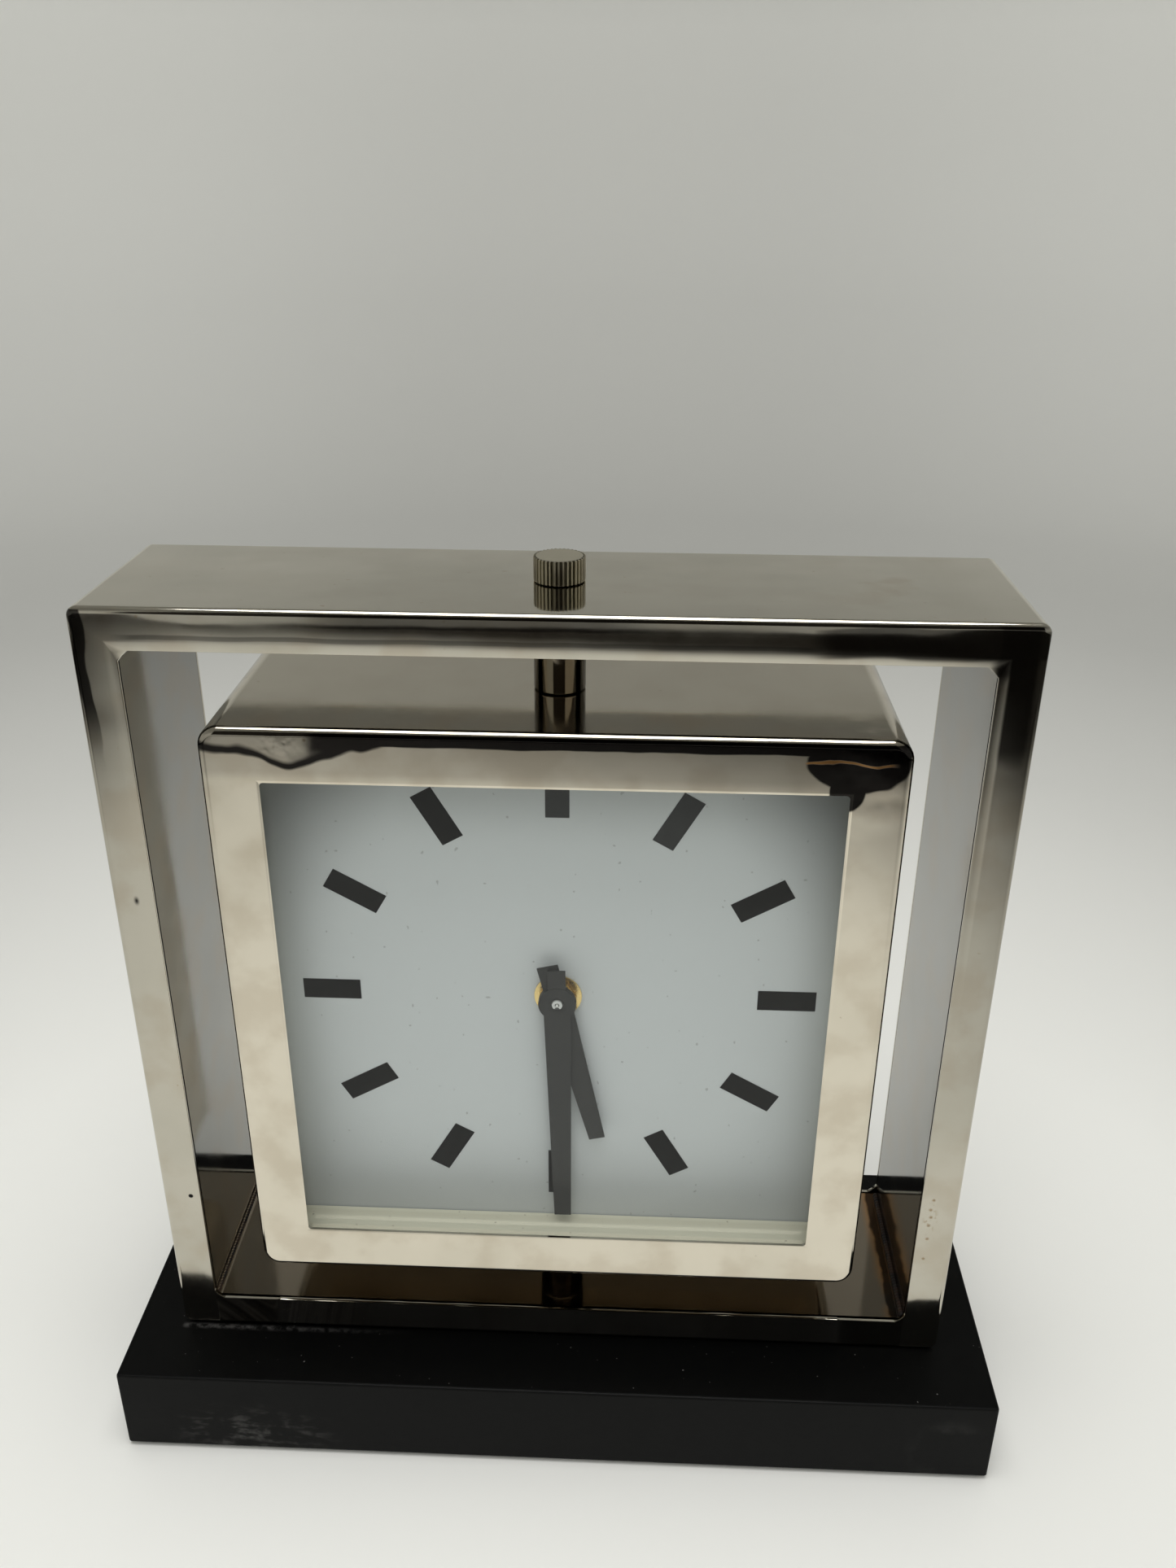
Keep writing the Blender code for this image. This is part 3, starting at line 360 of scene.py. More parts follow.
# ================================================================ plinth
# A block of wood in satin black lacquer, with softly rounded edges, standing on a sheet of
# black felt. Dust lies on its top and along the frame's foot, and its lower front is scuffed
# pale near the left end.
def close_up(piece, body, finish, slot, *nodes):
    """Leave edit mode, shade the piece, and put it on its body in place of its CAD nodes."""
    if bpy.context.mode == "EDIT_MESH":
        bpy.ops.object.mode_set(mode="OBJECT")
    bpy.ops.object.shade_smooth_by_angle(angle=radians(35))
    even = piece.modifiers.new("Even normals", "WEIGHTED_NORMAL")
    even.keep_sharp = True
    bpy.ops.object.modifier_apply(modifier=even.name)
    piece.data.materials.clear()
    piece.data.materials.append(finish)
    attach(piece, body)
    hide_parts(*nodes)


def apply_modifier(piece, kind, **settings):
    made = piece.modifiers.new(kind, kind)
    for name, value in settings.items():
        setattr(made, name, value)
    bpy.ops.object.modifier_apply(modifier=made.name)


def softened_copy(node, body, finish, slot, edge=0.0):
    """A CAD node's mesh, merged, with its square edges rounded."""
    bpy.ops.object.select_all(action="DESELECT")
    piece = frame["nodes"][node].copy()
    piece.data = piece.data.copy()
    piece.name = node + "_fine"
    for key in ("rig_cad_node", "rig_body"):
        del piece[key]
    piece.parent = None
    bpy.context.scene.collection.objects.link(piece)
    piece.select_set(True)
    bpy.context.view_layer.objects.active = piece
    bpy.ops.object.mode_set(mode="EDIT")
    bpy.ops.mesh.select_all(action="SELECT")
    bpy.ops.mesh.customdata_custom_splitnormals_clear()
    bpy.ops.mesh.remove_doubles(threshold=0.001 * mm)
    bpy.ops.mesh.dissolve_limited(angle_limit=radians(1))
    bpy.ops.object.mode_set(mode="OBJECT")
    if edge:
        apply_modifier(piece, "BEVEL", width=edge, segments=2, limit_method="ANGLE",
                       angle_limit=radians(40), use_clamp_overlap=True)
    close_up(piece, body, finish, slot, node)


def give(finish, slot, *nodes):
    """A CAD node whose shape is right keeps its mesh and gets this finish."""
    for node in nodes:
        piece = frame["nodes"][node]
        piece.data.materials.clear()
        piece.data.materials.append(finish)


plinth_low, plinth_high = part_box("base_plinth")
lacquer = Finish("satin_black_lacquer")
grain = lacquer.noise(420, 3)
across, high = lacquer.along("X"), lacquer.along("Z")
on_top = lacquer.step(high, plinth_high.z - 0.5 * mm, plinth_high.z - 0.1 * mm)
smear = (lacquer.step(lacquer.noise(150, 6, (1, 1, 2.6)), 0.46, 0.66)
         * lacquer.step(lacquer.noise(85, 3, (2.2, 1, 1)), 0.38, 0.60)
         * lacquer.spot((-100 * mm, plinth_low.y, 8 * mm), 26 * mm, (0.75, 1, 1.6)))
faint_smear = (lacquer.step(lacquer.noise(70, 4), 0.55, 0.7)
               * lacquer.spot((128 * mm, plinth_low.y, 14 * mm), 16 * mm)) * 0.6
scuff = smear.at_least(faint_smear)
dust = lacquer.step(lacquer.noise(900, 1), 0.78, 0.84) * on_top
foot_dust = (lacquer.step(lacquer.noise(560, 4), 0.36, 0.60) * on_top
             * lacquer.step(across, -45 * mm, -110 * mm)
             * lacquer.step(across, -128 * mm, -126 * mm)
             * lacquer.spot((0, -32 * mm, plinth_high.z), 1.6 * mm, (0, 1, 1))) * 0.3
soiled = (scuff * 0.13).at_least(dust * 0.35).at_least(foot_dust * 0.35)
lacquered = lacquer.principled(
    Base_Color=lacquer.blend(soiled, (0.0014, 0.0015, 0.0014), (0.45, 0.44, 0.42)),
    Roughness=0.38 + 0.08 * grain + 0.25 * soiled,
    Specular_IOR_Level=0.09,
    Normal=lacquer.bump(grain, 0.03 * mm))
softened_copy("base_plinth", "stand", lacquered, "black_lacquer")

nap = Finish("black_felt")
felt = nap.principled(
    Base_Color=nap.blend(nap.noise(1500, 3), (0.012, 0.012, 0.013), (0.05, 0.05, 0.05)),
    Roughness=0.95, Normal=nap.bump(nap.noise(1800, 2), 0.3 * mm))
give(felt, "felt", "base_felt")


# ================================================================ outer frame
# A square tube bent from sheet, welded, ground and nickel plated. Its front and back turn in
# slightly above the opening, and the inner corners are bridged by small ground welds.
def nickel(name, flat_top, marks, cloud=1.0, ripple=0.25 * mm,
           pale=(0.560, 0.530, 0.455), grey=(0.500, 0.475, 0.405)):
    """Polished nickel plate, a little wavy and clouded by handling, and calmer on the flat at
    flat_top. marks adds a piece's own marks: it returns the shares of stain, amber and dark,
    what comes on top of the roughness, and a height in mm."""
    metal = Finish(name)
    clouds = metal.step(metal.noise(26, 5), 0.36, 0.72)
    patches = metal.step(metal.noise(62, 4), 0.42, 0.66)
    wave = metal.noise(21, 1.5)
    calm = 1 - 0.75 * metal.step(metal.along("Z"), flat_top - 0.4 * mm, flat_top - 0.1 * mm)
    specks = metal.step(metal.noise(430, 1), 0.76, 0.82) * 0.5
    stain = (0.24 * cloud * patches * calm).at_least(specks)
    rough = 0.055 + 0.07 * cloud * clouds + 0.03 * metal.noise(300, 2)
    normal = metal.bump(wave, ripple)
    normal = metal.bump(metal.noise(160, 2), 0.004 * mm, below=normal)
    own_stain, amber, dark, own_rough, own_height = marks(metal)
    if own_height:
        normal = metal.bump(own_height, 1 * mm, below=normal)
    colour = metal.blend(clouds * 0.8, pale, grey)
    colour = metal.blend(stain.at_least(own_stain), colour, (0.36, 0.27, 0.17))
    colour = metal.blend(amber, colour, (0.62, 0.29, 0.07))
    # the dark share holds real burn on the lining and painted dark reflections on the frame, case and
    # collars
    colour = metal.blend(dark, colour, (0.012, 0.011, 0.011))
    return metal.principled(Base_Color=colour, Metallic=1.0, Roughness=rough + own_rough,
                            Normal=normal)


def bored(piece, radius, low, high, across=0.0):
    """Bore an upright round hole between two heights."""
    drill = begin("drill", "cylinder", vertices=32, radius=radius, depth=high - low,
                  location=(across, 0, (low + high) / 2))
    bpy.ops.object.mode_set(mode="OBJECT")
    bpy.ops.object.select_all(action="DESELECT")
    piece.select_set(True)
    bpy.context.view_layer.objects.active = piece
    apply_modifier(piece, "BOOLEAN", object=drill, operation="DIFFERENCE", solver="EXACT")
    bpy.data.objects.remove(drill)


sheet = 1.2 * mm
touch = 0.01 * mm                   # points closer than this are in the same place
frame_lip = 3.0 * mm                # width of the strip round the opening
frame_lip_fall = 0.4 * mm           # how far it turns in above the opening
frame_corner = 3 * mm
frame_edge = 1.6 * mm
weld_bridge = 3.2 * mm
pivot_bore = 3.3 * mm
screw_bore = 2.8 * mm
screw_offset = 80 * mm
frame_low, frame_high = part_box("frame_shell")
liner_low, liner_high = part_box("frame_liner")
opening_half = liner_high.x - sheet
frame_size = frame_high - frame_low
frame_middle = (frame_low + frame_high) / 2
band = frame_high.x - opening_half


def faces_front_or_back(face):
    return abs(face.normal.y) > 0.9


def runs_along_y(length):
    return lambda edge: abs(edge.verts[0].co.y - edge.verts[1].co.y) > 0.9 * length


def outer_rim(edge):
    """An edge between a front or back face and a side face."""
    if len(edge.link_faces) != 2:
        return False
    first, second = (abs(face.normal.y) for face in edge.link_faces)
    return max(first, second) > 0.9 and min(first, second) < 0.1


def inner_corner(low_x, high_x, low_z, high_z):
    """A vertex at a corner of the opening, on the sheet's open edge."""
    def test(vert):
        on_side = min(abs(vert.co.x - low_x), abs(vert.co.x - high_x)) < touch
        on_level = min(abs(vert.co.z - low_z), abs(vert.co.z - high_z)) < touch
        return on_side and on_level and vert.is_boundary
    return test


tube = begin("frame_tube", "cube", size=1, location=frame_middle, scale=frame_size)
pick(tube, "faces", faces_front_or_back)
bpy.ops.mesh.inset(thickness=band - frame_lip, use_individual=True)
bpy.ops.mesh.inset(thickness=frame_lip, use_individual=True)
bpy.ops.mesh.delete(type="FACE")
pick(tube, "verts", lambda vert: abs(vert.co.z - frame_middle.z - opening_half) < touch)
turned_in = 1 - 2 * frame_lip_fall / frame_size.y
bpy.ops.transform.resize(value=(1, turned_in, 1), center_override=frame_middle)
pick(tube, "edges", runs_along_y(frame_size.y))
bpy.ops.mesh.bevel(offset=frame_corner, segments=7, affect="EDGES")
pick(tube, "edges", outer_rim)
bpy.ops.mesh.bevel(offset=frame_edge, segments=7, affect="EDGES")
pick(tube, "verts", inner_corner(-opening_half, opening_half, frame_middle.z - opening_half,
                                 frame_middle.z + opening_half))
bpy.ops.mesh.bevel(offset=weld_bridge, segments=2, profile=0.3, affect="VERTICES")
bpy.ops.object.mode_set(mode="OBJECT")
apply_modifier(tube, "SOLIDIFY", thickness=sheet, offset=-1, use_even_offset=True)
apply_modifier(tube, "BEVEL", width=0.35 * mm, segments=2, limit_method="ANGLE",
               angle_limit=radians(70))
bored(tube, pivot_bore, frame_low.z - sheet, frame_high.z + sheet)
for side in (-1, 1):
    bored(tube, screw_bore, frame_low.z - sheet, frame_low.z + 2 * sheet, side * screw_offset)


def frame_marks(metal):
    """Painted dark reflections and pits on the front, a brown bloom on top, and a slightly crowned
    top band.
    """
    left, right_edge, front, top = frame_low.x, frame_high.x, frame_low.y, frame_high.z
    across, high = metal.along("X"), metal.along("Z")
    drift = metal.noise(32, 2)

    def wander(width):
        """A slow waver to and fro, at most this wide."""
        return width * (drift - 0.5)

    # a cluster of pits low on the right band, and single ones in a row through it
    pits = (metal.spot((right_edge - 8.6 * mm, front, 90 * mm), 9 * mm, (3.0, 1, 1))
            * metal.step(metal.noise(420, 2), 0.52, 0.62))
    for inward, height in ((8.9, 73.6), (8.6, 82.0), (8.8, 87.6), (8.4, 91.0), (8.8, 94.0),
                           (8.3, 98.0)):
        pit = metal.spot((right_edge - inward * mm, front, height * mm), 1.0 * mm)
        pits = pits.at_least(pit)
    brown = (metal.step(metal.noise(48, 4), 0.52, 0.68)
             * metal.spot((95 * mm, 4 * mm, top), 45 * mm)) * 0.35

    # along the top band, painted dark reflections: a long black streak, a thin one below it, and a
    # patch at the right
    reflection_streak = (metal.strip(high + wander(1.6 * mm), top - 2.7 * mm, 2.1 * mm, 1.5 * mm)
              * metal.step(across + 30 * mm * drift, -70 * mm, -30 * mm)
              * (0.72 - 0.42 * metal.step(across, 10 * mm, 35 * mm)))
    thin_reflection = (metal.strip(high + wander(1.4 * mm), top - 8.0 * mm, 0.9 * mm, 0.4 * mm)
            * (0.52 * metal.strip(across, 0, opening_half + 2 * mm, opening_half - 6 * mm)))
    reflection_patch = (metal.strip(high + wander(5 * mm), top - 5.9 * mm, 4.9 * mm, 3.6 * mm)
             * metal.step(across + wander(30 * mm), 66 * mm, 76 * mm)) * 0.78

    # painted dark reflection at the top of the right band, clear of the lip, and a stretch below that
    # is a little darker
    past_lip = metal.step(across, opening_half + 1.4 * mm, opening_half + 3.2 * mm)
    over_lip = (metal.step(high, top - 18 * mm, top - 13 * mm)
                * metal.step(across, opening_half - 4 * mm, opening_half))
    right_band_reflection = (metal.step(high + 22 * mm * drift, 256 * mm, 264 * mm) * past_lip.at_least(over_lip)
            * (0.85 - 0.40 * metal.step(across, right_edge - 3.2 * mm, right_edge - 1.6 * mm)))
    darker_stretch = (0.2 * metal.step(across, 100 * mm, 118 * mm)
              * metal.step(high, 90 * mm, 170 * mm))

    # on the left band: a painted dark reflection along the edge near the top, a smudge beside it, a
    # nick and a deep pit
    left_edge_reflection = (metal.strip(across + 4 * mm * (metal.noise(70, 1) - 0.5), left + 2.4 * mm,
                             1.9 * mm, 1.4 * mm)
                 * metal.step(high, top - 48 * mm, top - 26 * mm))
    smudge = metal.spot((left + 6 * mm, front, top - 31 * mm), 9 * mm, (0.8, 1, 1.2)) * 0.3
    nick = metal.spot((left + 7 * mm, front, 199.5 * mm), 1.8 * mm, (1.6, 1, 0.9))
    deep_pit = metal.step(metal.spot((left + 9 * mm, front, 89.5 * mm), 1.4 * mm), 0.25, 0.6)

    on_front = metal.step(metal.along("Y"), front + 6 * mm, front + 3 * mm)
    below_rim = metal.step(high, top - 0.6 * mm, top - 0.9 * mm)
    dark = reflection_streak.at_least(reflection_patch).at_least(right_band_reflection.at_least(darker_stretch)).at_least(left_edge_reflection * 0.92)
    dark = dark.at_least(smudge).at_least(thin_reflection).at_least(nick.at_least(deep_pit))
    dark = dark * on_front * below_rim
    crown = (high - (top - 6.5 * mm) + wander(3 * mm)) * 200
    crowned = metal.strip(across, 0, opening_half, opening_half - 22 * mm)
    return (pits * 0.95).at_least(brown), 0.0, dark, pits * 0.4, 0 - 0.12 * crown * crown * crowned


frame_nickel = nickel("frame_nickel", frame_high.z, frame_marks)
close_up(tube, "stand", frame_nickel, "polished_nickel", "frame_shell")


# ================================================================ lining of the frame
# A band of the same sheet that closes the tube round the opening, with a welded seam along
# each inner corner. The seam at the lower right is burnt brown and black.
liner_gap = 0.3 * mm
liner_corner = 2 * mm
liner_depth = frame_size.y - 2 * (frame_lip_fall + sheet + liner_gap)
opening_size = Vector((2 * opening_half, liner_depth, 2 * opening_half))
lining = begin("frame_lining", "cube", size=1, location=frame_middle, scale=opening_size)
pick(lining, "faces", faces_front_or_back)
bpy.ops.mesh.delete(type="FACE")
pick(lining, "edges", runs_along_y(liner_depth))
bpy.ops.mesh.bevel(offset=liner_corner, segments=4, affect="EDGES")
bpy.ops.object.mode_set(mode="OBJECT")
apply_modifier(lining, "SOLIDIFY", thickness=sheet, offset=1, use_even_offset=True)
bored(lining, pivot_bore, frame_low.z, frame_high.z)


def lining_marks(metal):
    """Amber and black round the burnt corner, a little brown at the other corner and on the
    floor, and darker toward the top."""
    low = frame_middle.z - opening_half
    burnt = metal.spot((opening_half, 0, low), 13 * mm, (1, 0, 1))
    burn = burnt * metal.step(metal.noise(60, 3), 0.20, 0.55)
    other = metal.spot((-opening_half, 0, low), 12 * mm, (1, 0.16, 1)) * 0.5
    brown = metal.step(metal.along("Z"), low + 3 * mm, low + 1 * mm) * 0.5
    black = metal.step(burnt + 0.35 * metal.noise(130, 2), 0.86, 0.98)
    upper = metal.step(metal.along("Z"), low + 50 * mm, low + 120 * mm) * 0.14
    haze = metal.step(burn, 0.35, 0.95) * 0.75
    return other.at_least(brown), haze, (black * 0.9).at_least(upper), 0.1 * burn, 0.0


# The lining's nickel is painted darker than the frame's, as shade inside the opening.
lining_nickel = nickel("lining_nickel", frame_high.z, lining_marks, ripple=0.10 * mm,
                       pale=(0.315, 0.316, 0.303), grey=(0.290, 0.288, 0.268))
close_up(lining, "stand", lining_nickel, "polished_nickel", "frame_liner")

bead_spacing = 1.25 * mm
bead_inset = 0.45 * mm              # how far the beads' line stands off the lining
scorched = Finish("scorched_weld")
heat = scorched.noise(240, 3)
burnt_brown = scorched.blend(scorched.step(heat, 0.4, 0.62), (0.007, 0.005, 0.004),
                             (0.034, 0.017, 0.008))
scorched_steel = scorched.principled(Base_Color=burnt_brown, Metallic=0.3, Roughness=0.55,
                                     Normal=scorched.bump(heat, 0.3 * mm))


def weld_seam(name, across, upward, bead_radius):
    """A row of overlapping beads along an inner corner of the lining."""
    reach = opening_half - bead_inset
    start = Vector((across * reach, bead_radius - liner_depth / 2, frame_middle.z + upward * reach))
    seam = begin(name, "ico_sphere", subdivisions=2, radius=bead_radius, location=start)
    bpy.ops.mesh.select_all(action="SELECT")
    bpy.ops.transform.resize(value=(0.8, 1.0, 0.8), center_override=start)
    bpy.ops.object.mode_set(mode="OBJECT")
    apply_modifier(seam, "ARRAY", count=int((liner_depth - 2 * bead_radius) / bead_spacing) + 1,
                   use_relative_offset=False, use_constant_offset=True,
                   constant_offset_displace=(0, bead_spacing, 0))
    close_up(seam, "stand", scorched_steel, "polished_nickel")


weld_seam("weld_lower_left", -1, -1, 0.8 * mm)
weld_seam("weld_lower_right", 1, -1, 1.3 * mm)
weld_seam("weld_upper_left", -1, 1, 0.8 * mm)
weld_seam("weld_upper_right", 1, 1, 0.9 * mm)


# ================================================================ screws that hold the frame down
# Zinc plated steel, turned and lightly brushed. The screws rise from under the plinth, and
# the nylon bushes carry the swivel.
def grained(name, grain, colours, roughness, depth, **sockets):
    """A finish whose colour, roughness and bump all follow one fine noise. roughness is the
    least value and its range, and with a range of 0 it stays even."""
    finish = Finish(name)
    noise = finish.noise(*grain)
    least, span = roughness
    return finish.principled(Base_Color=finish.blend(noise, *colours),
                             Roughness=least + span * noise if span else least,
                             Normal=finish.bump(noise, depth), **sockets)


zinc_steel = grained("zinc_plate", (900, 2, (1, 1, 0.15)), ((0.46, 0.46, 0.45), (0.60, 0.60, 0.58)),
                     (0.30, 0.15), 0.01 * mm, Metallic=1.0)
for node, edge in (("frame_screw_left", 0.4), ("frame_screw_right", 0.4), ("frame_nut_left", 0.3),
                   ("frame_nut_right", 0.3)):
    softened_copy(node, "stand", zinc_steel, "steel", edge * mm)

nylon = grained("natural_nylon", (350, 2), ((0.78, 0.76, 0.70), (0.86, 0.85, 0.80)),
                (0.42, 0.1), 0.02 * mm)
for node in ("top_bush", "bottom_bush"):
    softened_copy(node, "stand", nylon, "nylon", 0.2 * mm)


# ================================================================ clock case
# A square box of nickel plated sheet, open at the back. Its front edges are ground to a soft
# round, its face is a bezel round the window, and its upper corners carry dents and pits.
case_low, case_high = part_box("case_shell")
case_size = case_high - case_low
case_middle = (case_low + case_high) / 2
bezel = 16 * mm
bezel_lip = 0.8 * mm
bezel_lip_fall = 0.25 * mm
case_corner = 6 * mm
case_edge = 2.2 * mm
window_corner = 1.0 * mm
window_half = case_size.x / 2 - bezel

case = begin("case_body", "cube", size=1, location=case_middle, scale=case_size)
pick(case, "faces", lambda face: face.normal.y > 0.9)
bpy.ops.mesh.delete(type="ONLY_FACE")
pick(case, "faces", lambda face: face.normal.y < -0.9)
bpy.ops.mesh.inset(thickness=bezel - bezel_lip)
bpy.ops.mesh.inset(thickness=bezel_lip, depth=-bezel_lip_fall)
bpy.ops.mesh.delete(type="FACE")
pick(case, "edges", runs_along_y(case_size.y))
bpy.ops.mesh.bevel(offset=case_corner, segments=8, affect="EDGES")
pick(case, "edges", outer_rim)
bpy.ops.mesh.bevel(offset=case_edge, segments=9, affect="EDGES")
pick(case, "verts", inner_corner(-window_half, window_half, case_middle.z - window_half,
                                 case_middle.z + window_half))
bpy.ops.mesh.bevel(offset=window_corner, segments=4, affect="VERTICES")
bpy.ops.object.mode_set(mode="OBJECT")
apply_modifier(case, "SOLIDIFY", thickness=sheet, offset=-1, use_even_offset=True)
bored(case, pivot_bore, case_low.z - sheet, case_high.z + sheet)


def case_marks(metal):
    """Painted dark reflections along the top of the front, with a dent at its left and a fold at its
    right.
    """
    top, front = case_high.z, case_low.y
    across, high = metal.along("X"), metal.along("Z")
    drift = metal.noise(60, 2)
    crease = metal.noise(85, 1.5)

    # a dent with a raised rim at the upper left corner
    raised = (metal.spot((-73 * mm, front, top - 5 * mm), 6 * mm, (0.7, 1, 1.1))
              * metal.step(metal.noise(170, 2), 0.3, 0.6))

    # a painted dark reflection along the top left, which widens toward the corner and clears above an
    # arc
    reach = (7.5 * mm * metal.step(across, -8 * mm, -66 * mm) + 10 * mm * (drift - 0.5)
             + 4 * mm * metal.spot((-70 * mm, front, top - 8 * mm), 16 * mm))
    above_arc = (metal.step(high + reach, top + 2.2 * mm, top + 4.0 * mm)
                 * metal.step(across + 14 * mm * (metal.noise(130, 2) - 0.5), -60 * mm, -71 * mm))
    left_band = (metal.step(high + reach, top - 0.5 * mm, top + 1.2 * mm)
                 * metal.step(across, -5 * mm, -30 * mm)
                 * (1 - above_arc.at_least(metal.step(raised, 0.15, 0.5)) * 0.52))
    # a painted dark reflection in a line across the whole top of the front
    line = (metal.step(high + 1.2 * mm * (drift - 0.5), top - 4.9 * mm, top - 4.3 * mm)
            * (1 - above_arc))

    # a painted dark reflection at the upper right corner, crossed by a thin orange line
    corner = metal.spot((81 * mm, front, top - 6 * mm), 19 * mm, (0.9, 0.6, 1.25)).at_least(
        metal.spot((78.5 * mm, front, top - 14.5 * mm), 10.5 * mm, (1.3, 0.6, 1)))
    corner_reflection = metal.step(corner + 0.9 * (drift - 0.5), 0.25, 0.36)
    orange = (corner_reflection * metal.strip(high + 8 * mm * (crease - 0.5), top - 6.3 * mm, 0.6 * mm, 0.2 * mm)
              * metal.step(across, 92 * mm, 89 * mm))

    on_front = metal.step(metal.along("Y"), front + 4 * mm, front + 2 * mm)
    below_rim = metal.step(high, top - 0.9 * mm, top - 1.3 * mm)
    # painted reflection: the bezel above the window, and the faces off the front, are painted darker
    above_window = metal.step(high, case_middle.z + window_half, case_middle.z + window_half + 4 * mm)
    dimmed_reflection = (0.27 * above_window).at_least(0.20 * (1 - on_front))
    black = left_band.at_least(corner_reflection * (1 - orange)).at_least(line)
    dark = (black * (0.985 * on_front * below_rim)).at_least(dimmed_reflection)
    pits = metal.spot((-66 * mm, front, top - 3 * mm), 0.8 * mm).at_least(
        metal.spot((-48 * mm, front, top - 4 * mm), 0.7 * mm))
    fold = metal.spot((84 * mm, front, top - 8 * mm), 20 * mm, (1.1, 1, 0.9))
    return pits * 0.9, orange * on_front * 0.9, dark, 0.0, 0.5 * fold * crease + 0.10 * raised


# The case's nickel is painted paler than the frame's, as a brighter reflection on its front;
# case_marks paints its top and sides back darker.
case_nickel = nickel("case_nickel", case_high.z, case_marks, pale=(0.745, 0.690, 0.580),
                     grey=(0.670, 0.620, 0.515))
close_up(case, "case", case_nickel, "polished_nickel", "case_shell")


# ================================================================ window
# Clear float glass behind the bezel, held off the dial by a spacer of layered cream board.
glass = Finish("window_glass")
edge_on = glass.node("LayerWeight", sockets={"Blend": 0.5}, output="Facing")
film = edge_on ** 5 * 0.6 + 0.018
reflection = glass.node("BsdfGlossy", sockets={"Color": (1, 1, 1), "Roughness": 0.02})
through = glass.node("BsdfTransparent", sockets={"Color": (0.985, 0.995, 0.99)})
pane = glass.close(glass.node("MixShader", sockets={0: film, 1: through, 2: reflection}))
give(pane, "window_glass", "glass_pane")

board = Finish("layered_board")
layers = board.node("TexWave", {"wave_type": "BANDS", "bands_direction": "Y"},
                    {"Vector": board.place(), "Scale": 44.0, "Distortion": 0.5, "Detail": 1.0})
fibre = board.noise(700, 3)
specks = board.step(board.noise(650, 1), 0.73, 0.79)
cream = board.blend(board.step(layers, 0.5, 0.95) * 0.32, (0.70, 0.675, 0.545), (0.52, 0.48, 0.36))
cream_board = board.principled(
    Base_Color=board.blend(specks * 0.7, cream, (0.22, 0.18, 0.12)), Roughness=0.85,
    Normal=board.bump(layers + 0.3 * fibre, 0.06 * mm))
give(cream_board, "foam_board", "window_spacer")


# ================================================================ dial
# A white-backed card printed pale blue-grey, with painted shade toward its corners, top and
# foot, and twelve charcoal bars round the centre. A few specks of dust lie on it behind the glass.
dial_low, dial_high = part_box("dial_plate")
dial_face = dial_low.y
dial_centre = (dial_low.z + dial_high.z) / 2
printed = Finish("printed_dial")
paper = printed.noise(1100, 2)
dial_dust = printed.step(printed.noise(520, 0.5), 0.77, 0.80)
pale = printed.blend(paper, (0.640, 0.665, 0.685), (0.665, 0.690, 0.708))
from_middle = printed.node("VectorMath", {"operation": "DISTANCE"},
                           {0: printed.place(), 1: (0, dial_face, dial_centre)}, "Value")
high = printed.along("Z")
# painted shade: darker toward the corners and toward the top and foot, as the bezel shades the
# recessed card
upper = printed.step(high, dial_centre - 60 * mm, dial_centre + 70 * mm)
corner_shade = printed.step(from_middle, 68 * mm, 116 * mm) * (0.35 + 0.8 * upper)
top_and_foot_shade = (printed.step(printed.off(high, dial_centre), 50 * mm, 82 * mm)
                * (0.12 + 0.3 * upper))
pale = printed.blend(corner_shade.at_least(top_and_foot_shade), pale, (0.25, 0.26, 0.265))
card_print = printed.principled(
    Base_Color=printed.blend(dial_dust * 0.4, pale, (0.2, 0.2, 0.2)),
    Roughness=0.62, Specular_IOR_Level=0.3, Normal=printed.bump(paper, 0.01 * mm))
give(card_print, "dial_paint", "dial_plate")

marker_inner = 61.0 * mm
marker_outer = 78.8 * mm
marker_width = 7.0 * mm
marker_ink = 0.08 * mm
ink = grained("charcoal_ink", (1400, 2), ((0.020, 0.021, 0.022), (0.030, 0.031, 0.032)),
              (0.55, 0), 0.01 * mm, Specular_IOR_Level=0.25)
marker_length = marker_outer - marker_inner
marker_middle = dial_centre + marker_inner + marker_length / 2
bars = begin("hour_bars", "cube", size=1, scale=(marker_width, marker_ink, marker_length),
             location=(0, dial_face - marker_ink / 2, marker_middle))
pick(bars, "edges", lambda edge: all(v.co.y < dial_face - marker_ink / 2 for v in edge.verts))
bpy.ops.mesh.bevel(offset=0.03 * mm, segments=1)
# Each round copies the last faces in the mesh's order and turns them by one hour. Blender
# doesn't always put new faces last, so this leaves a fault: the bars from 1 to 10 lack
# their bevel and back, and those from 2 to 11 have their front and sides twice.
for hour in range(1, 12):
    pick(bars, "faces", lambda face: face.index < 0)
    shape = bmesh.from_edit_mesh(bars.data)
    shape.faces.ensure_lookup_table()
    newest = len(shape.faces) - len(shape.faces) // hour
    for face in shape.faces[newest:]:
        face.select_set(True)
    bmesh.update_edit_mesh(bars.data)
    bpy.ops.mesh.duplicate()
    bpy.ops.transform.rotate(value=tau / 12, orient_axis="Y",
                             center_override=(0, dial_face, dial_centre))
close_up(bars, "case", ink, "dial_paint")


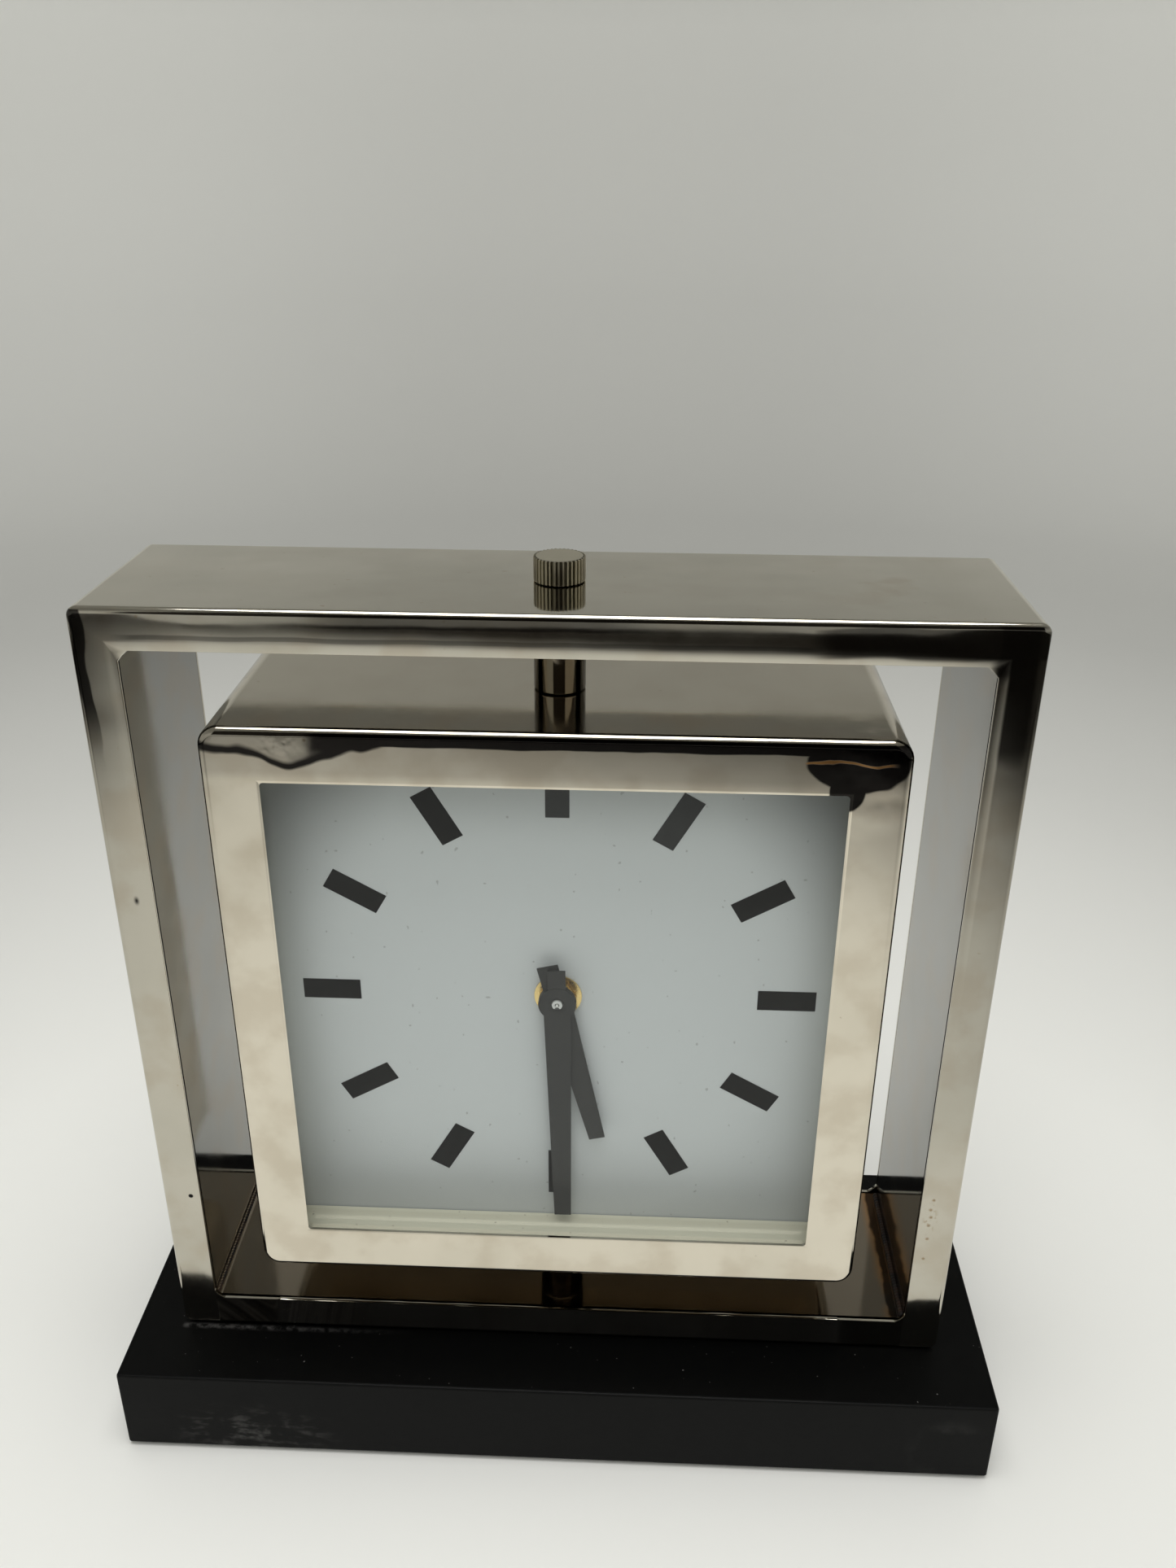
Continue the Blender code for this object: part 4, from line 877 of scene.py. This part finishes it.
# ================================================================ hands
# Thin aluminium blades pressed with a round hub and painted matt black. A brass nut and
# washer behind them hold the movement's threaded bush to the dial.
hand = Finish("hand_black")
hand_grain = hand.noise(900, 2)
hub_place = (0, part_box("minute_hand")[0].y, dial_centre)
dished = hand.spot(hub_place, 3.6 * mm, (1, 0, 1))
speck = hand.step(hand.noise(780, 0.5), 0.79, 0.82)
hand_black = hand.blend(hand_grain, (0.026, 0.026, 0.027), (0.038, 0.038, 0.037))
hand_paint = hand.principled(
    Base_Color=hand.blend(speck * 0.5, hand_black, (0.35, 0.34, 0.32)),
    Roughness=0.42 + 0.08 * hand_grain, Specular_IOR_Level=0.25,
    Normal=hand.bump(hand_grain, 0.008 * mm, below=hand.bump(1 - dished, 0.7 * mm)))
softened_copy("minute_hand", "minute_works", hand_paint, "hand_black", 0.12 * mm)
softened_copy("hour_hand", "hour_works", hand_paint, "hand_black", 0.12 * mm)


def pierce(piece, is_end, wall):
    """Open a cylinder right through, leaving a wall of this thickness, and leave edit mode."""
    pick(piece, "faces", is_end)
    bpy.ops.mesh.inset(thickness=wall, use_individual=True)
    bpy.ops.mesh.delete(type="FACE")
    pick(piece, "edges", lambda edge: edge.is_boundary)
    bpy.ops.mesh.bridge_edge_loops()
    bpy.ops.object.mode_set(mode="OBJECT")


brass = grained("turned_brass", (800, 2, (1, 0.1, 1)), ((0.78, 0.57, 0.24), (0.88, 0.67, 0.31)),
                (0.22, 0.12), 0.01 * mm, Metallic=1.0)
washer_low, washer_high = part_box("brass_washer")
washer_depth = washer_high.y - washer_low.y
washer_bore = 4.3 * mm
washer = begin("dial_washer", "cylinder", vertices=72, radius=(washer_high.x - washer_low.x) / 2,
               depth=washer_depth, rotation=(pi / 2, 0, 0),
               location=(washer_low + washer_high) / 2)
pierce(washer, faces_front_or_back, washer_high.x - washer_bore)
apply_modifier(washer, "BEVEL", width=0.12 * mm, segments=2, limit_method="ANGLE",
               angle_limit=radians(60))
close_up(washer, "case", brass, "brass", "brass_washer")
softened_copy("brass_nut", "case", brass, "brass", 0.25 * mm)
softened_copy("threaded_bush", "case", brass, "brass", 0.1 * mm)


# ================================================================ swivel
# The case hangs between a knurled knob with its stud above and a bolt below, inside two
# polished collars that keep it centred in the frame.
knob_low, knob_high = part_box("swivel_knob")
ridges = 36
ridge_points = 6
knob_radius = knob_high.x
groove_depth = 0.55 * mm
knob_bore_depth = 5.3 * mm
knob_middle = (knob_low + knob_high) / 2
knob = begin("knurled_knob", "cylinder", vertices=ridges * ridge_points, radius=knob_radius,
             depth=knob_high.z - knob_low.z, location=(0, 0, knob_middle.z))


def in_groove(vert):
    """Two of the six points round each ridge stand in its groove."""
    turn = Vector((vert.co.x, vert.co.y)).angle_signed(Vector((1, 0)))
    share = (turn / tau * ridges) % 1
    return 0.5 < share < 0.98


pick(knob, "verts", in_groove)
shrink = (knob_radius - groove_depth) / knob_radius
bpy.ops.transform.resize(value=(shrink, shrink, 1), center_override=(0, 0, knob_middle.z))
pick(knob, "edges", lambda edge: edge.is_manifold and edge.calc_face_angle() > radians(80))
bpy.ops.mesh.bevel(offset=0.22 * mm, segments=2)
bpy.ops.object.mode_set(mode="OBJECT")
bored(knob, pivot_bore, knob_low.z - 1 * mm, knob_low.z + knob_bore_depth)
turned = Finish("knob_nickel")
lathe = turned.noise(1200, 2)
flattened = turned.node("Mapping", sockets={"Vector": turned.place(), "Scale": (1, 1, 0)})
from_axis = turned.node("VectorMath", {"operation": "LENGTH"}, {0: flattened}, "Value")
ridge_face = turned.step(from_axis, knob_radius - groove_depth, knob_radius - 0.1 * mm)
# painted shade in the grooves between the ridges
groove_shade = turned.step(from_axis, knob_radius - 1.5 * groove_depth, knob_radius - groove_depth)
knob_colour = turned.blend(lathe, (0.42, 0.385, 0.285), (0.50, 0.46, 0.36))
knob_metal = turned.principled(
    Base_Color=turned.blend(groove_shade * (1 - ridge_face), knob_colour, (0.10, 0.09, 0.06)),
    Metallic=1.0, Roughness=0.28 + 0.1 * lathe, Normal=turned.bump(lathe, 0.012 * mm))
close_up(knob, "case", knob_metal, "polished_nickel", "swivel_knob")


def collar_marks(metal):
    """Upright brown streaks, and both sides painted dark as reflection."""
    streaks = metal.step(metal.noise(340, 1, (1, 1, 0.03)), 0.38, 0.6)
    # painted dark reflection at both sides of the collar
    edges = metal.step(metal.off(metal.along("X"), 0), 4.8 * mm, 7.2 * mm)
    return streaks * 0.6, 0.0, edges * 0.8, 0.0, 0.0


collar_nickel = nickel("collar_nickel", frame_high.z, collar_marks, cloud=0.3, ripple=0.05 * mm,
                       pale=(0.42, 0.385, 0.315), grey=(0.36, 0.33, 0.27))
for node, name in (("top_sleeve", "upper_collar"), ("bottom_sleeve", "lower_collar")):
    low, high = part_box(node)
    collar = begin(name, "cylinder", vertices=96, radius=high.x, depth=high.z - low.z,
                   location=(low + high) / 2)
    pierce(collar, lambda face: abs(face.normal.z) > 0.9, high.x - pivot_bore)
    apply_modifier(collar, "BEVEL", width=0.4 * mm, segments=3, limit_method="ANGLE",
                   angle_limit=radians(60))
    close_up(collar, "case", collar_nickel, "polished_nickel", node)

for node, edge in (("top_stud", 0.3), ("top_nut", 0.4), ("bottom_bolt", 0.4), ("bottom_nut", 0.4)):
    softened_copy(node, "case", zinc_steel, "steel", edge * mm)


# ================================================================ back of the case
# A black painted panel screwed to four softwood blocks, with a square opening for the
# movement, its battery and its setting knob.
panel = Finish("black_panel_paint")
orange_peel = panel.noise(650, 2)
panel_paint = panel.principled(
    Base_Color=panel.blend(panel.step(panel.noise(35, 4), 0.4, 0.7), (0.014, 0.014, 0.015),
                           (0.024, 0.024, 0.025)),
    Roughness=0.42 + 0.12 * orange_peel, Normal=panel.bump(orange_peel, 0.05 * mm))
softened_copy("back_cover", "case", panel_paint, "black_paint", 0.25 * mm)
for number in range(1, 5):
    softened_copy(f"back_screw_{number}", "case", zinc_steel, "steel", 0.35 * mm)

pine = Finish("plain_softwood")
growth_lines = pine.node("TexWave", {"wave_type": "BANDS", "bands_direction": "X"},
                         {"Vector": pine.place(), "Scale": 90.0, "Distortion": 3.0, "Detail": 2.0})
wood = pine.principled(Base_Color=pine.blend(growth_lines, (0.62, 0.45, 0.27), (0.44, 0.28, 0.14)),
                       Roughness=0.7, Normal=pine.bump(growth_lines, 0.08 * mm))
give(wood, "wood", *[f"corner_block_{number}" for number in range(1, 5)])


# ================================================================ movement
# A moulded black housing with a gear chamber over a battery bay, closed by its own cover. The
# wheels are pale nylon, the motor is a coil on a core, and a small board carries the quartz.
black_plastic = grained("moulded_black", (1300, 2), ((0.016, 0.016, 0.017), (0.028, 0.028, 0.029)),
                        (0.38, 0.14), 0.04 * mm)
for node, body, edge in (("movement_housing", "case", 0.3), ("movement_cover", "case", 0.3),
                         ("set_knob", "setting_works", 0.2)):
    softened_copy(node, body, black_plastic, "black_plastic", edge * mm)

white_plastic = grained("moulded_white", (500, 2), ((0.74, 0.74, 0.71), (0.83, 0.83, 0.80)),
                        (0.38, 0.1), 0.02 * mm)
give(white_plastic, "white_plastic", "middle_plate", "hour_wheel", "motion_wheel",
     "third_wheel", "second_wheel", "intermediate_wheel", "rotor_pinion", "set_arbor")

slotted = Finish("arbor_plastic")
arbor_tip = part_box("minute_arbor")[0].y
# the slot at the arbor's tip is painted dark as shade
slot_shade = slotted.spot((0, arbor_tip, dial_centre - 1.6 * mm), 1.5 * mm, (1, 0.3, 1))
worn = slotted.noise(500, 2)
worn_grey = slotted.blend(worn, (0.60, 0.60, 0.60), (0.70, 0.70, 0.69))
arbor_plastic = slotted.principled(
    Base_Color=slotted.blend(slotted.step(slot_shade, 0.25, 0.5), worn_grey, (0.03, 0.03, 0.03)),
    Roughness=0.35, Normal=slotted.bump(worn, 0.02 * mm))
give(arbor_plastic, "white_plastic", "minute_arbor")

washer_rubber = grained("washer_rubber", (1500, 2), ((0.015, 0.015, 0.015), (0.03, 0.03, 0.03)),
                        (0.8, 0), 0.05 * mm)
give(washer_rubber, "rubber", "rubber_washer")

give(zinc_steel, "steel", "quartz_crystal", "coil_core", "stator", "battery_contact_positive",
     "battery_contact_negative")

magnet = grained("sintered_magnet", (1600, 3), ((0.09, 0.09, 0.10), (0.15, 0.15, 0.16)),
                 (0.5, 0), 0.03 * mm, Metallic=0.8)
give(magnet, "magnet", "rotor_magnet")

mask = Finish("solder_mask")
tracks = mask.node("TexBrick", sockets={"Vector": mask.place(), "Scale": 320.0,
                                        "Mortar Size": 0.12}, output="Fac")
solder_mask = mask.principled(
    Base_Color=mask.blend(tracks, (0.03, 0.18, 0.07), (0.06, 0.30, 0.13)),
    Roughness=0.35, Normal=mask.bump(tracks, 0.03 * mm))
give(solder_mask, "circuit_green", "circuit_board")

enamel = Finish("enamelled_wire")
windings = enamel.node("TexWave", {"wave_type": "BANDS", "bands_direction": "Z"},
                       {"Vector": enamel.place(), "Scale": 1200.0})
copper_wire = enamel.principled(
    Base_Color=enamel.blend(windings, (0.45, 0.18, 0.07), (0.75, 0.38, 0.18)),
    Metallic=0.9, Roughness=0.35, Normal=enamel.bump(windings, 0.05 * mm))
give(copper_wire, "copper", "coil_winding")


# ================================================================ battery
# A plain AA cell in a dark wrap with a gold band at its positive end, and bare steel ends.
battery_low, battery_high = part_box("battery")
cell_radius = (battery_high.z - battery_low.z) / 2
cell_middle = (battery_low + battery_high) / 2
button_height = 1.2 * mm
button_radius = 2.75 * mm
shoulder = battery_high.x - button_height
cell = begin("aa_cell", "cylinder", vertices=64, radius=cell_radius,
             depth=shoulder - battery_low.x, rotation=(0, pi / 2, 0),
             location=((shoulder + battery_low.x) / 2, cell_middle.y, cell_middle.z))
pick(cell, "faces", lambda face: face.normal.x > 0.9)
bpy.ops.mesh.inset(thickness=cell_radius - button_radius)
bpy.ops.mesh.extrude_region_move(TRANSFORM_OT_translate={"value": (button_height, 0, 0)})
bpy.ops.object.mode_set(mode="OBJECT")
apply_modifier(cell, "BEVEL", width=0.35 * mm, segments=3, limit_method="ANGLE",
               angle_limit=radians(60))

wrap = Finish("battery_wrap")
along_cell = wrap.along("X")
ends = wrap.step(along_cell, shoulder - 0.6 * mm, shoulder - 0.2 * mm).at_least(
    wrap.step(along_cell, battery_low.x + 0.6 * mm, battery_low.x + 0.2 * mm))
band_share = wrap.step(along_cell, shoulder - 13 * mm, shoulder - 12.8 * mm)
wrapped = wrap.blend(band_share, (0.035, 0.042, 0.075), (0.55, 0.42, 0.20))
cell_finish = wrap.principled(
    Base_Color=wrap.blend(ends, wrapped, (0.58, 0.57, 0.55)), Metallic=0.25 + 0.75 * ends,
    Roughness=0.28 + 0.06 * wrap.noise(600, 2), Normal=wrap.bump(wrap.noise(120, 2), 0.03 * mm))
close_up(cell, "case", cell_finish, "battery_wrap", "battery")
